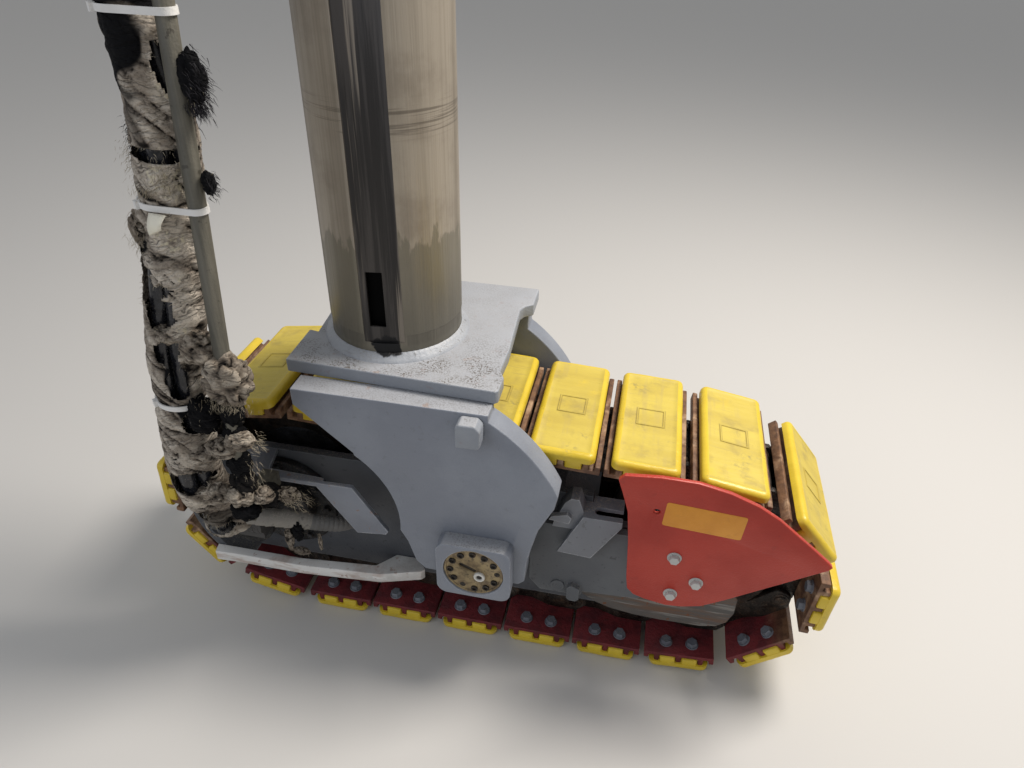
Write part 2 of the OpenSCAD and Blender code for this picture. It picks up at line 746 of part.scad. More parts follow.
track_chain();
chain_bushings();
track_shoes();
track_pads();
drive_sprocket();
final_drive();
drive_motor();
idler_wheel();
idler_yoke();
bottom_rollers();
frame_beam();
side_plate_outer();
side_plate_inner();
lower_rails();
frame_covers();
top_slide();
pivot_axle();
pitch_stop();
guard_plate();
guard_standoffs();
bash_plate();
hose_guard();
hose_manifold();
hose_stay();
hose_bulkhead();
hose_bundle();
ribbed_hose();
fork_plate_top();
cheek_outer();
cheek_inner();
axle_flange_outer();
axle_flange_inner();
axle_cap_outer();
axle_cap_inner();
lifting_lug();
column_tube();
column_weld();
column_gland();
lift_rod();
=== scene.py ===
import json
import random
import bmesh
import bpy
from math import cos, exp, hypot, pi, radians, sin
from mathutils import Matrix, Vector, noise

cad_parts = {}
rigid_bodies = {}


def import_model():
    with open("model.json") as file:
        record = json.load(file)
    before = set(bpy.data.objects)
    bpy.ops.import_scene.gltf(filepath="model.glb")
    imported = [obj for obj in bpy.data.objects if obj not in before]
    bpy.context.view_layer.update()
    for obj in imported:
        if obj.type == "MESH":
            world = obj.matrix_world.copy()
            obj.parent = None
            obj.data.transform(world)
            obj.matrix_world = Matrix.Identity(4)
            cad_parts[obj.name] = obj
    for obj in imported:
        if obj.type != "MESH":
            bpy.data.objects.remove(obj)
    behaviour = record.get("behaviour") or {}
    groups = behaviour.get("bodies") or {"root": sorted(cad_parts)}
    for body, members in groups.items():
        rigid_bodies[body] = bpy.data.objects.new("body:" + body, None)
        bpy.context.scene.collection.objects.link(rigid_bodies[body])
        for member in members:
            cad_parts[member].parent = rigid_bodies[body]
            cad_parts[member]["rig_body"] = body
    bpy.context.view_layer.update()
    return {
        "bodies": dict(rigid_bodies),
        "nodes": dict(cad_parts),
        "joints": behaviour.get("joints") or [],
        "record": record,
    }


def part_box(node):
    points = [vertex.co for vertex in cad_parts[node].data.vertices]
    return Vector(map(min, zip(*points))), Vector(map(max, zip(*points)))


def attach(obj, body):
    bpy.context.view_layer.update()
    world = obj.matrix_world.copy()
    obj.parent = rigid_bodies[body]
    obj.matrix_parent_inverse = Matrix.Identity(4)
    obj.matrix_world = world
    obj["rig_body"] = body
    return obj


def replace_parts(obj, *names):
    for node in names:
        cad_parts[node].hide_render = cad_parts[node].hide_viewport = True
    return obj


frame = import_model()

scene = bpy.context.scene
nodes = frame["nodes"]

# Camera: a wide hand-held view from above the outer side, tilted down at the fork.
# Its place, turn and lens follow from the pads, the axle and the column in the picture.
camera_place = Vector((0.22473, -1.08132, 1.29378))
camera_yaw = radians(10.76)
camera_down = radians(34.42)
camera_roll = radians(-1.35)
ahead = Vector((-sin(camera_yaw) * cos(camera_down),
                cos(camera_yaw) * cos(camera_down), -sin(camera_down)))
level = Vector((cos(camera_yaw), sin(camera_yaw), 0))
below = ahead.cross(level)
right = cos(camera_roll) * level + sin(camera_roll) * below
below = -sin(camera_roll) * level + cos(camera_roll) * below
camera_data = bpy.data.cameras.new("camera")
camera_data.sensor_width = 36
camera_data.lens = 26.011
camera_data.clip_start = 0.01
camera = bpy.data.objects.new("camera", camera_data)
camera_turn = Matrix((right, -below, -ahead)).transposed().to_4x4()
camera.matrix_world = Matrix.Translation(camera_place) @ camera_turn
scene.collection.objects.link(camera)
scene.camera = camera


# Floor and light: a plain pale studio floor under a wide soft lamp from above and behind,
# a low fill from the front, and a pale surround.
def srgb(code):
    """Linear colour of a hex code such as 8b8f94."""
    part = [int(code[i:i + 2], 16) / 255 for i in (0, 2, 4)]
    return tuple(c / 12.92 if c <= 0.04045 else ((c + 0.055) / 1.055) ** 2.4 for c in part) + (1,)


def new_material(name):
    """Starts a node material. The nodes that are added next go into its tree."""
    global tree, shader
    material = bpy.data.materials.new(name)
    material.use_nodes = True
    tree = material.node_tree
    shader = tree.nodes["Principled BSDF"]
    return material


def feed(node, **sockets):
    """Fills a node's sockets, by name or by number as i0, with values or outputs."""
    for key, value in sockets.items():
        socket = node.inputs[int(key[1:]) if key[1:].isdigit() else key.replace("_", " ")]
        if isinstance(value, bpy.types.NodeSocket):
            tree.links.new(value, socket)
        else:
            socket.default_value = value


def add(kind, settings=None, out=0, **sockets):
    """Adds a shader node and gives one of its outputs."""
    made = tree.nodes.new("ShaderNode" + kind)
    for key, value in (settings or {}).items():
        setattr(made, key, value)
    feed(made, **sockets)
    return made.outputs[out]


def mesh_of(shape, name, sharp=35):
    """The finished mesh of a form, smooth but for its sharp edges."""
    mesh = bpy.data.meshes.new(name)
    shape.to_mesh(mesh)
    shape.free()
    mesh.shade_smooth()
    mesh.set_sharp_from_angle(angle=radians(sharp))
    return mesh


def link_piece(name, shape, material, body="track_unit", sharp=35):
    """Puts a form or a mesh in the scene under a plain name, riding on a body."""
    mesh = mesh_of(shape, name, sharp) if isinstance(shape, bmesh.types.BMesh) else shape
    made = bpy.data.objects.new(name, mesh)
    scene.collection.objects.link(made)
    mesh.materials.append(material)
    if body:
        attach(made, body)
    return made


floor_material = new_material("floor_pale")
feed(shader, Base_Color=srgb("c8c6c2"), Roughness=0.9)
floor_mesh = bpy.data.meshes.new("floor")
floor_reach = 14
floor_mesh.from_pydata([(-floor_reach, -floor_reach, 0), (floor_reach, -floor_reach, 0),
                        (floor_reach, floor_reach, 0), (-floor_reach, floor_reach, 0)], [], [(0, 1, 2, 3)])
link_piece("floor", floor_mesh, floor_material, body=None)

world = bpy.data.worlds.new("studio")
scene.world = world
world.use_nodes = True
surround = world.node_tree.nodes["Background"].inputs
surround["Color"].default_value = srgb("eef0f4")
surround["Strength"].default_value = 0.46


def lamp(name, place, target, size, power, colour):
    """A soft square lamp that looks at a point."""
    data = bpy.data.lights.new(name, "AREA")
    data.size = size
    data.energy = power
    data.color = srgb(colour)[:3]
    made = bpy.data.objects.new(name, data)
    made.location = place
    made.rotation_euler = (Vector(target) - Vector(place)).to_track_quat("-Z", "Y").to_euler()
    scene.collection.objects.link(made)


lamp("key", (1.5, 0.6, 3.3), (0, 0, 0.3), 1.0, 132, "fff8f0")
lamp("fill", (-2.0, -3.0, 2.4), (0, 0, 0.5), 2.6, 24, "e8f0ff")
scene.view_settings.view_transform = "Standard"


# Track frame: a welded box beam with heavy side plates, round bosses for the pivot axle and cover
# plates in front. Dark grey paint, dulled by road dust on what faces up, with edges made lighter as
# wear and as painted highlight.
def mapped(scale=(1, 1, 1), turn=(0, 0, 0), source=None, shift=(0, 0, 0)):
    """Place on the piece in metres, turned, stretched and shifted."""
    source = source or add("TexCoord", out="Object")
    return add("Mapping", i0=source, Location=shift, Rotation=turn, Scale=scale)


def cut(value, low, high):
    """A value that is cut to run smoothly from 0 at low to 1 at high."""
    return add("MapRange", {"interpolation_type": "SMOOTHSTEP"}, i0=value, i1=low, i2=high)


def speckle(scale, low, high, detail=5.0, place=None):
    """Noise that is cut to run from 0 at low to 1 at high."""
    place = place or mapped()
    return cut(add("TexNoise", Vector=place, Scale=scale, Detail=detail, Roughness=0.6), low, high)


def grain(scale, low, high, detail=5.0, turn=(0, 0, 0), source=None):
    """Speckle that is stretched along the piece."""
    return speckle(1.0, low, high, detail, mapped(scale, turn, source))


def mix(share, first, second):
    """First colour where share is 0, second where it is 1. Colours are outputs or hex codes."""
    first, second = (srgb(one) if isinstance(one, str) else one for one in (first, second))
    return add("Mix", {"data_type": "RGBA"}, 2, i0=share, i6=first, i7=second)


def maths(operation, *values, kind="Math", out=0):
    """A calculation with outputs and numbers."""
    sockets = {f"i{place}": value for place, value in enumerate(values)}
    return add(kind, {"operation": operation}, out, **sockets)


def distance_from(place, stretch):
    """Distance of the surface from a point, stretched along the axes."""
    off = mapped(shift=[-one for one in place])
    off = maths("MULTIPLY", off, stretch, kind="VectorMath")
    return maths("LENGTH", off, kind="VectorMath", out="Value")


def times(*values):
    """Product of outputs and numbers."""
    result = values[0]
    for value in values[1:]:
        result = maths("MULTIPLY", result, value)
    return result


def over(colour, coat, *shares):
    """A colour with a coat on it, as far as the shares' product goes."""
    return mix(times(*shares), colour, coat)


def ramp(value, low, high):
    """0 to 1 made into low to high."""
    return add("MapRange", i0=value, i3=low, i4=high)


def height_of(axis=2):
    """Place along one axis, in metres."""
    return add("SeparateXYZ", out=axis, i0=add("TexCoord", out="Object"))


def facing_up(low=0.35, high=0.85):
    """1 where the surface faces up."""
    return cut(add("SeparateXYZ", out=2, i0=add("TexCoord", out="Normal")), low, high)


def edges_of(reach):
    """1 within reach of a sharp edge, from how far a blended normal leans there."""
    blended = add("Bevel", {"samples": 4}, Radius=reach)
    plain = add("NewGeometry", out="True Normal")
    lean = maths("DOT_PRODUCT", blended, plain, kind="VectorMath", out="Value")
    return cut(lean, 0.97, 0.80)


def bumped(height, distance, strength=1.0):
    """Raises the surface by a height of 0 to 1 times a distance in metres."""
    feed(shader, Normal=add("Bump", Strength=strength, Distance=distance, Height=height))


def painted(name, paint, faded, dust, chip, gloss=0.45, dusty=0.6, chips=0.0, scratches=0.5, edge_wear_and_highlight=None,
            extra=None):
    """Sprayed paint: faded patches, dust on top, fine scratches, chips, and edges of wear and painted
    highlight.
    """
    material = new_material(name)
    patch = speckle(7, 0.38, 0.66)
    colour = mix(patch, paint, faded)
    line = grain((9, 9, 260), 0.70, 0.78, 2, (0.5, 0.35, 0.2))
    colour = over(colour, chip, line, scratches, speckle(9, 0.5, 0.62))
    if extra:
        colour = extra(colour)
    settled = times(speckle(420, 0.46, 0.62, 8), speckle(18, 0.34, 0.62))
    colour = over(colour, dust, settled, facing_up(), dusty)
    if chips:
        colour = over(colour, chip, speckle(75, 0.63, 0.66, 7), chips)
    # Edges lighter: partly wear, partly painted highlight where light catches them.
    if edge_wear_and_highlight:
        colour = over(colour, edge_wear_and_highlight, edges_of(0.004), speckle(60, 0.36, 0.6, 6), 0.85)
    feed(shader, Base_Color=colour, Roughness=ramp(patch, gloss, gloss + 0.18))
    bumped(speckle(300, 0.3, 0.7, 3), 0.0004, 0.5)
    return material


def cleaned(node):
    """A node's own shape, with the faces of one plane made one."""
    shape = bmesh.new()
    shape.from_mesh(nodes[node].data)
    bmesh.ops.remove_doubles(shape, verts=shape.verts, dist=1e-5)
    bmesh.ops.dissolve_limit(shape, angle_limit=radians(0.6), verts=shape.verts, edges=shape.edges)
    return shape


def rounded(node, material, width, segments=2):
    """The node's own shape with its sharp edges broken, in place of the plain solid."""
    shape = cleaned(node)
    mesh = nodes[node].data.copy()
    mesh.materials.clear()
    shape.to_mesh(mesh)
    shape.free()
    mesh.shade_smooth()
    made = link_piece(node + "_piece", mesh, material, nodes[node]["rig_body"])
    broken = made.modifiers.new("edges", "BEVEL")
    broken.width = width
    broken.segments = segments
    broken.limit_method = "ANGLE"
    broken.angle_limit = radians(32)
    broken.harden_normals = True
    broken.use_clamp_overlap = True
    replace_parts(made, node)
    return made


frame_paint = painted("frame_paint", "43464b", "54565a", "8b8377", "1f1d1b", 0.5, 0.8, 0.4, edge_wear_and_highlight="7d7f82")
for node in ("frame_beam", "side_plate_outer", "side_plate_inner", "top_slide"):
    rounded(node, frame_paint, 0.0015)
cover_paint = painted("cover_paint", "55585c", "64676a", "8e867a", "2c2a28", 0.55, 0.8, 0.4, edge_wear_and_highlight="85878a")
rounded("frame_covers", cover_paint, 0.003, 3)


# Boat-shaped rails: flame-cut plates that the chain scuffs lengthways, so that brown streaks and
# bare grey lie along them like grain.
def chain_scuffs(colour):
    colour = over(colour, "6b4a33", grain((5, 5, 75), 0.42, 0.62, 6), 0.8)
    return over(colour, "8b8984", grain((7, 7, 120), 0.55, 0.68, 4), 0.7)


rail_paint = painted("rail_paint", "4f4d4b", "5f5a55", "8c7a66", "6e3f22", 0.55, 0.5, 0.9, extra=chain_scuffs)
rounded("lower_rails", rail_paint, 0.003, 3)

# Pivot axle: a ground steel shaft through the frame, held by its bosses. It hardly shows, so it has
# no more than a dull film of oil and rust.
axle_steel = painted("axle_steel", "77706a", "6a625a", "8c857c", "4a3b2e", 0.35, 0.2)
rounded("pivot_axle", axle_steel, 0.002)


# Chain, sprocket, idler and rollers: forged and cast steel, black-brown with old grease that holds
# grit. Each pin's end shows in the eyes of its links, riveted over and wet with grease.
def greasy(name, steel, grease, rust, wet=0.3):
    """Steel under a coat of grease, uneven and partly glossy."""
    material = new_material(name)
    colour = mix(speckle(60, 0.45, 0.7), steel, rust)
    colour = mix(speckle(22, 0.36, 0.58, 7), colour, grease)
    colour = over(colour, "6b5c4b", speckle(300, 0.55, 0.66, 6), 0.5)
    feed(shader, Base_Color=colour, Roughness=ramp(speckle(35, 0.35, 0.65), wet, 0.75), Metallic=0.25)
    bumped(speckle(90, 0.3, 0.7, 6), 0.0015, 0.8)
    return material


def solids_of(node):
    """Middle of each solid of a node, with the middle and direction of its widest flat face."""
    shape = cleaned(node)
    seen = set()
    found = []
    for first in shape.verts:
        group = []
        front = [] if first in seen else [first]
        seen.add(first)
        while front:
            corner = front.pop()
            group.append(corner)
            near = [edge.other_vert(corner) for edge in corner.link_edges]
            fresh = [other for other in near if other not in seen]
            seen.update(fresh)
            front += fresh
        if group:
            middle = sum((corner.co for corner in group), Vector()) / len(group)
            faces = (face for corner in group for face in corner.link_faces)
            widest = max(faces, key=lambda face: face.calc_area())
            found.append((middle, widest.calc_center_bounds().copy(), widest.normal.copy()))
    shape.free()
    return sorted(found, key=lambda solid: (round(solid[0].x, 4), round(solid[0].z, 4)))


def skin(shape, rings, loop=False, flip=False):
    """Joins rings of corners by faces, and caps both ends or closes them into a loop."""
    for low, high in zip(rings, rings[1:] + rings[:loop]):
        for corners in zip(low, low[1:] + low[:1], high[1:] + high[:1], high):
            shape.faces.new(corners[:1] + corners[:0:-1] if flip else corners)
    if not loop:
        shape.faces.new(rings[0][::1 if flip else -1])
        shape.faces.new(rings[-1][::-1 if flip else 1])


def around(sides):
    """Angles that go round once."""
    return [2 * pi * side / sides for side in range(sides)]


def turned(shape, place, direction, profile, sides=24):
    """Adds a turned form about a direction, from rings of (radius, height)."""
    stand = Matrix.Translation(place) @ Vector(direction).to_track_quat("Z", "Y").to_matrix().to_4x4()
    skin(shape, [[shape.verts.new(stand @ Vector((radius * cos(angle), radius * sin(angle), height)))
                  for angle in around(sides)] for radius, height in profile])


chain_grease = greasy("chain_grease", "3b332c", "17130f", "54402f")
for node in ("track_chain", "chain_bushings", "drive_sprocket", "idler_wheel", "idler_yoke",
             "bottom_rollers"):
    rounded(node, chain_grease, 0.0018)
link_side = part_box("track_chain")[1][1]
pin_steel = greasy("pin_steel", "4b443c", "1b1714", "5e4836", 0.2)
pins = bmesh.new()
for middle, face, normal in solids_of("chain_bushings"):
    for side in (-1, 1):
        turned(pins, (middle.x, side * (link_side - 0.001), middle.z), (0, side, 0),
               ((0.0165, 0), (0.0165, 0.0018), (0.0155, 0.0026), (0.0118, 0.0026), (0.0112, 0.0046),
                (0.0085, 0.0054), (0.0035, 0.0050)))
link_piece("chain_pins", pins, pin_steel)

# Drive at the rear: gearbox and motor in black paint under oil and dust, with a ring of screws in
# the motor's flange. The hoses end in the block beside it, in two crimped ferrules.
drive_grease = greasy("drive_grease", "2d2e31", "141414", "3b3c40", 0.35)
for node in ("final_drive", "drive_motor"):
    rounded(node, drive_grease, 0.002)
ferrule_dust = painted("ferrule_dust", "3c3b3b", "4b4946", "8f877b", "232120", 0.6, 0.9, 0.3)
rounded("hose_manifold", ferrule_dust, 0.002)


def hex_bolt(shape, place, direction, across=0.019, head=0.009, washer=0.0125):
    """Adds a hexagon head on its round washer."""
    thick = 0.002
    turned(shape, place, direction, ((washer, 0), (washer, thick - 0.0006), (washer - 0.0006, thick)))
    half = across / 2 / cos(pi / 6)
    turned(shape, Vector(place) + Vector(direction) * thick, direction,
           ((half, 0), (half, head - 0.0016), (half - 0.0012, head), (0.0035, head)), 6)


def middle_of(node):
    """Middle of a node's box."""
    low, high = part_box(node)
    return (Vector(low) + Vector(high)) / 2


motor_middle = middle_of("drive_motor")
flange_face = -0.115
flange_screws = 0.091
screws = bmesh.new()
for angle in around(12):
    spot = motor_middle + flange_screws * Vector((cos(angle), 0, sin(angle)))
    hex_bolt(screws, (spot.x, flange_face, spot.z), (0, -1, 0), 0.013, 0.007, 0.0085)
link_piece("drive_screws", screws, drive_grease)

ferrule_line = middle_of("hose_manifold")
ferrule_line.z = 0.281
crimp_profile = ((0.018, 0), (0.020, 0.001), (0.020, 0.006), (0.018, 0.007))
crimps = bmesh.new()
for offset in (-0.052, -0.041, -0.030, -0.019, 0.012, 0.023, 0.034, 0.045):
    turned(crimps, ferrule_line + Vector((offset, 0, 0)), (1, 0, 0), crimp_profile, 32)
link_piece("ferrule_crimps", crimps, ferrule_dust)

# Shoes: rolled steel with three bars, in red primer on the lower run, darkened there as painted shade
# under the frame, and rubbed to brown rust on the upper run. Four bolts hold each shoe to its links.
shoe_primer = new_material("shoe_primer")
primer = mix(speckle(30, 0.4, 0.65), "6e2226", "541b20")
primer = over(primer, "3a1a1a", speckle(160, 0.55, 0.68, 6), 0.6)
rust = mix(speckle(55, 0.35, 0.66, 7), "7f5d42", "5a3f2e")
rust = mix(speckle(25, 0.50, 0.7, 6), rust, "ad8f72")
rust = over(rust, "4a2f22", grain((60, 4, 60), 0.5, 0.7), 0.5)
lower_run = 0.115
# Below this height the shoes take red primer, darkened as painted shade under the frame.
lower_run_shade_and_primer = cut(height_of(), lower_run + 0.03, lower_run)
feed(shader, Base_Color=mix(lower_run_shade_and_primer, rust, primer), Roughness=0.62)
bumped(speckle(140, 0.3, 0.7, 6), 0.0008, 0.7)
rounded("track_shoes", shoe_primer, 0.0015)

pad_depth = 0.0307
shoe_plate = 0.0083
across_track = Vector((0, 1, 0))
bolt_steel = painted("bolt_steel", "6f747c", "5d6068", "8a857c", "3b2f28", 0.35, 0.5, 0.5)
pad_seats = []
for middle, face, normal in solids_of("track_pads"):
    turn = Matrix((across_track.cross(normal), across_track, normal)).transposed().to_4x4()
    pad_seats.append(Matrix.Translation(face - pad_depth * normal) @ turn)
bolts = bmesh.new()
for seat in pad_seats:
    inward = -(seat.to_3x3() @ Vector((0, 0, 1)))
    for along, across in ((-0.025, -0.108), (-0.025, 0.108), (0.025, -0.108), (0.025, 0.108)):
        hex_bolt(bolts, seat @ Vector((along, across, -shoe_plate)), inward, 0.0185, 0.0085)
link_piece("shoe_bolts", bolts, bolt_steel)


# Pads: blocks of yellow polyurethane cast on the shoes. Each has a bevelled rim, a worn face with a
# plain moulded square, and teeth that fill the gaps between the bars of its shoe.
def rounded_outline(half_x, half_y, corner, arc=5, straight=8):
    """Points of a rounded rectangle, always as many, so that outlines stack."""
    arcs = []
    for quarter, (x, y) in enumerate(((1, 1), (-1, 1), (-1, -1), (1, -1))):
        middle = Vector((x * (half_x - corner), y * (half_y - corner)))
        angles = [pi / 2 * (quarter + step / arc) for step in range(arc + 1)]
        arcs.append([middle + corner * Vector((cos(a), sin(a))) for a in angles])
    points = []
    for quarter in range(4):
        points += arcs[quarter]
        last = arcs[quarter][-1]
        after = arcs[(quarter + 1) % 4][0]
        points += [last.lerp(after, step / straight) for step in range(1, straight)]
    return points


def stacked(shape, outlines, loop=False):
    """Adds rings of (outline, height), capped at both ends or closed into a loop."""
    rings = [[shape.verts.new((p.x, p.y, height)) for p in outline] for outline, height in outlines]
    skin(shape, rings, loop)


pad_half = Vector((0.057, 0.140))
pad_corner = 0.013
pad_rings = ((0.0030, 0.0140), (0.0000, 0.0145), (0.0000, 0.0225), (0.0008, 0.0250), (0.0026, 0.0277),
             (0.0052, 0.0295), (0.0080, 0.0305), (0.0098, 0.0307), (0.0110, 0.0306), (0.0126, 0.0297),
             (0.0200, 0.0295), (0.0330, 0.0295), (0.0450, 0.0295))
emblem_half = 0.0252
emblem_inner = emblem_half - 0.0034
emblem_rings = ((emblem_half, 0.0290), (emblem_half - 0.0006, 0.0306), (emblem_inner + 0.0006, 0.0306),
                (emblem_inner, 0.0290))
tooth_rings = ((0.0010, 0.0003), (0.0000, 0.0013), (0.0000, 0.0160))
tooth_half = Vector((0.0147, 0.1395))
tooth_middle = 0.021
pad_form = bmesh.new()
stacked(pad_form, [(rounded_outline(pad_half.x - inset, pad_half.y - inset, max(pad_corner - inset, 0.004)),
                    height) for inset, height in pad_rings])
stacked(pad_form, [(rounded_outline(half, half, 0.002, 2, 1), height) for half, height in emblem_rings], True)
for side in (-1, 1):
    stacked(pad_form, [([p + Vector((side * tooth_middle, 0)) for p in
                         rounded_outline(tooth_half.x - inset, tooth_half.y - inset, 0.003, 2, 2)], height)
                       for inset, height in tooth_rings])
pad_form.verts.index_update()
pad_corners = [corner.co.copy() for corner in pad_form.verts]
pad_faces = [[corner.index for corner in face.verts] for face in pad_form.faces]
pad_form.free()
pad_points, pad_loops, pad_places, pad_tops = [], [], [], []
pad_random = random.Random(4)
noise.seed_set(1795778778)  # noise_vector differs from run to run without a seed
for seat in pad_seats:
    start = len(pad_points)
    seed = Vector([pad_random.uniform(0, 9) for axis in range(3)])
    for corner in pad_corners:
        wave = noise.noise_vector(corner * 45 + seed) * 0.0006
        wave.z *= 0.4 if corner.z > 0.0295 else 1
        moved = corner + wave
        moved.z = min(moved.z, pad_depth)
        pad_points.append(seat @ moved)
        pad_places.append(corner + seed)
        rim = min(pad_half.x - abs(corner.x), pad_half.y - abs(corner.y))
        pad_tops.append(1.0 if rim > 0.0105 and corner.z > 0.029 else 0.0)
    pad_loops += [[index + start for index in face] for face in pad_faces]
pad_mesh = bpy.data.meshes.new("track_pads_cast")
pad_mesh.from_pydata(pad_points, [], pad_loops)


def attribute(mesh, name, values):
    """Gives each corner of a mesh a number or a place, for its material."""
    kind, key = ("FLOAT", "value") if isinstance(values[0], float) else ("FLOAT_VECTOR", "vector")
    flat = values if key == "value" else [number for value in values for number in value]
    mesh.attributes.new(name, kind, "POINT").data.foreach_set(key, flat)


attribute(pad_mesh, "pad_place", pad_places)
attribute(pad_mesh, "pad_spot", pad_corners * len(pad_seats))
attribute(pad_mesh, "pad_top", pad_tops)
pad_mesh.shade_smooth()
pad_mesh.set_sharp_from_angle(angle=radians(50))


def given(name, out="Fac"):
    """Output of what attribute() gave to a mesh's corners."""
    return add("Attribute", {"attribute_name": name}, out)


pad_polyurethane = new_material("pad_polyurethane")
place = given("pad_place", "Vector")
top = given("pad_top")


def cast(scale, low, high, detail=5.0):
    """Speckle of the casting, which differs from pad to pad."""
    return speckle(scale, low, high, detail, place)


yellow = mix(cast(14, 0.35, 0.7), "d8bc36", "ccb02d")
dull = mix(grain((3, 22, 3), 0.3, 0.7, 8, source=place), "cbb64e", "bda746")
dull = mix(cast(20, 0.50, 0.72, 7), dull, "ac984a")
yellow = over(yellow, dull, top, cast(11, 0.22, 0.42))
streaks = grain((60, 5, 60), 0.50, 0.66, 6, source=place)
yellow = over(yellow, "b39f5c", streaks, top, cast(13, 0.42, 0.6), 0.5)
yellow = over(yellow, "a8945a", grain((6, 170, 6), 0.63, 0.74, 3, (0, 0, 0.12), place), top, 0.5)
yellow = over(yellow, "857a50", cast(17, 0.56, 0.72, 8), cast(150, 0.45, 0.65, 6), 0.7)
yellow = over(yellow, "5f5030", cast(330, 0.66, 0.72, 4), cast(9, 0.5, 0.65), 0.7)
# Painted shade along both edges of the moulded square's ridge, on the worn face.
spot = maths("ABSOLUTE", given("pad_spot", "Vector"), kind="VectorMath")
square = maths("MAXIMUM", add("SeparateXYZ", i0=spot), add("SeparateXYZ", out=1, i0=spot))
for edge in (emblem_half, emblem_inner):
    off = maths("ABSOLUTE", maths("SUBTRACT", square, edge))
    yellow = over(yellow, "85743a", cut(off, 0.0017, 0.0005), top, 0.55)
feed(shader, Base_Color=yellow, Roughness=ramp(top, 0.36, 0.55))
bumped(grain((30, 90, 30), 0.3, 0.7, 6, source=place), 0.0009, 0.5)
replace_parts(link_piece("track_pads_cast", pad_mesh, pad_polyurethane), "track_pads")


# Guard: a laser-cut plate in red paint, on three stand-offs with zinc-plated bolts. A blank
# yellow-orange plate is stuck near its upper edge, and a small hole is left from transport.
def carved(made, cutter_shape):
    """Cuts a form out of a piece for good."""
    plain = bpy.data.objects.new("plain", made.data)
    cutter = bpy.data.objects.new("cutter", mesh_of(cutter_shape, "cutter"))
    for one in (plain, cutter):
        scene.collection.objects.link(one)
    modifier = plain.modifiers.new("cut", "BOOLEAN")
    modifier.object = cutter
    modifier.solver = "EXACT"
    made.data = bpy.data.meshes.new_from_object(plain.evaluated_get(bpy.context.evaluated_depsgraph_get()))
    for one in (plain, cutter):
        bpy.data.objects.remove(one)


# The guard's edges take a brighter red, as a painted highlight.
guard_red = painted("guard_red", "b0301f", "a22c1e", "b58a78", "5c211d", 0.38, 0.25, 0.12, 0.25,
                    edge_wear_and_highlight="d8483a")
guard = rounded("guard_plate", guard_red, 0.0012)
guard_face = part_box("guard_plate")[0][1]
hole = bmesh.new()
turned(hole, (0.296, guard_face - 0.01, 0.461), (0, 1, 0), ((0.0056, 0), (0.0056, 0.03)))
carved(guard, hole)

label_plain = painted("label_plain", "e0982c", "d18a2c", "b58a4a", "9a6a2a", 0.4, 0.2, 0.1, 0.2)
label = bmesh.new()
stacked(label, [(rounded_outline(0.063 - inset, 0.025 - inset, 0.004, 3, 2), height)
                for inset, height in ((0, 0), (0, 0.0005), (0.0003, 0.0007))])
label_turn = Matrix.Rotation(radians(3.6), 4, "Y") @ Matrix.Rotation(radians(90), 4, "X")
label_place = Matrix.Translation((0.371, guard_face + 0.0002, 0.456))
bmesh.ops.transform(label, verts=label.verts, matrix=label_place @ label_turn)
link_piece("guard_label", label, label_plain)

zinc = painted("zinc", "b4b5b2", "c3c3be", "8a867e", "6c6a66", 0.3, 0.3)
for node in ("guard_standoffs", "hose_bulkhead"):
    rounded(node, zinc, 0.001)
bolts = bmesh.new()
for middle, face, normal in solids_of("guard_standoffs"):
    hex_bolt(bolts, (middle.x, guard_face, middle.z), (0, -1, 0), 0.0165, 0.0075, 0.0120)
link_piece("guard_bolts", bolts, zinc)

# Brackets: the pitch stop with its slotted plate and cast shoulder, and the bent guard over the
# hoses. Grey paint, thick with pale grit on top, lighter along the edges from wear and painted highlight.
bracket_paint = painted("bracket_paint", "74777d", "82858a", "a39a8b", "4a4a4a", 0.45, 0.9, 0.4,
                        edge_wear_and_highlight="b5b8bb")
rounded("pitch_stop", bracket_paint, 0.0025, 3)
hose_guard_paint = painted("hose_guard_paint", "757982", "81858d", "a59d92", "8a5a3a", 0.42, 0.8, 0.5,
                           edge_wear_and_highlight="b9bbbf")
rounded("hose_guard", hose_guard_paint, 0.0015)


# Skid bar under the hoses: flame-cut plate whose paint the road has taken off. Rust has come up on
# it in patches, and its front end is scraped bright.
def skid_wear(colour):
    colour = over(colour, "8a5a38", grain((14, 14, 60), 0.46, 0.66, 7), 0.6)
    return over(colour, "c2c0bc", cut(height_of(0), -0.30, -0.20), speckle(40, 0.35, 0.6))


bash_metal = painted("bash_metal", "d6d5d1", "dfdedb", "cfc0ae", "8a5c40", 0.4, 0.4, 0.5, extra=skid_wear,
                     edge_wear_and_highlight="cfcdc8")
rounded("bash_plate", bash_metal, 0.0015)

# Fork: flame-cut cheeks welded to a saddle plate, sprayed mid grey. Grit lies thick on the plate,
# towards its near edge most of all. Edges are lighter as wear and as painted highlight, the plate and
# lug take a lighter copy of the grey as painted light, and the tops get a painted highlight.
plate_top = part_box("fork_plate_top")[1][2]


def grease_run(colour):
    """Black grease that has run out of the column's groove."""
    far = distance_from((-0.1650, -0.111, plate_top + 0.024), (0.65, 1, 1))
    uneven = add("TexNoise", Vector=mapped(), Scale=60.0, Detail=6.0)
    return mix(cut(maths("MULTIPLY_ADD", uneven, -0.026, far), 0.005, 0.001), colour, "111113")


def plate_grit_and_top_highlight(colour, thick=0.85):
    near = cut(height_of(1), 0.04, -0.15)
    top = facing_up(0.8, 0.95)
    # Faces that look up are painted a lighter grey: a painted highlight on the tops.
    colour = over(colour, "a6a8ac", top, 0.8)
    colour = over(colour, "96735a", speckle(30, 0.62, 0.70, 6), near, top, 0.45)
    grit = times(speckle(340, 0.47, 0.60, 8), speckle(24, 0.36, 0.62, 6), top)
    return over(colour, "59534c", grit, maths("ADD", near, 0.22), thick)


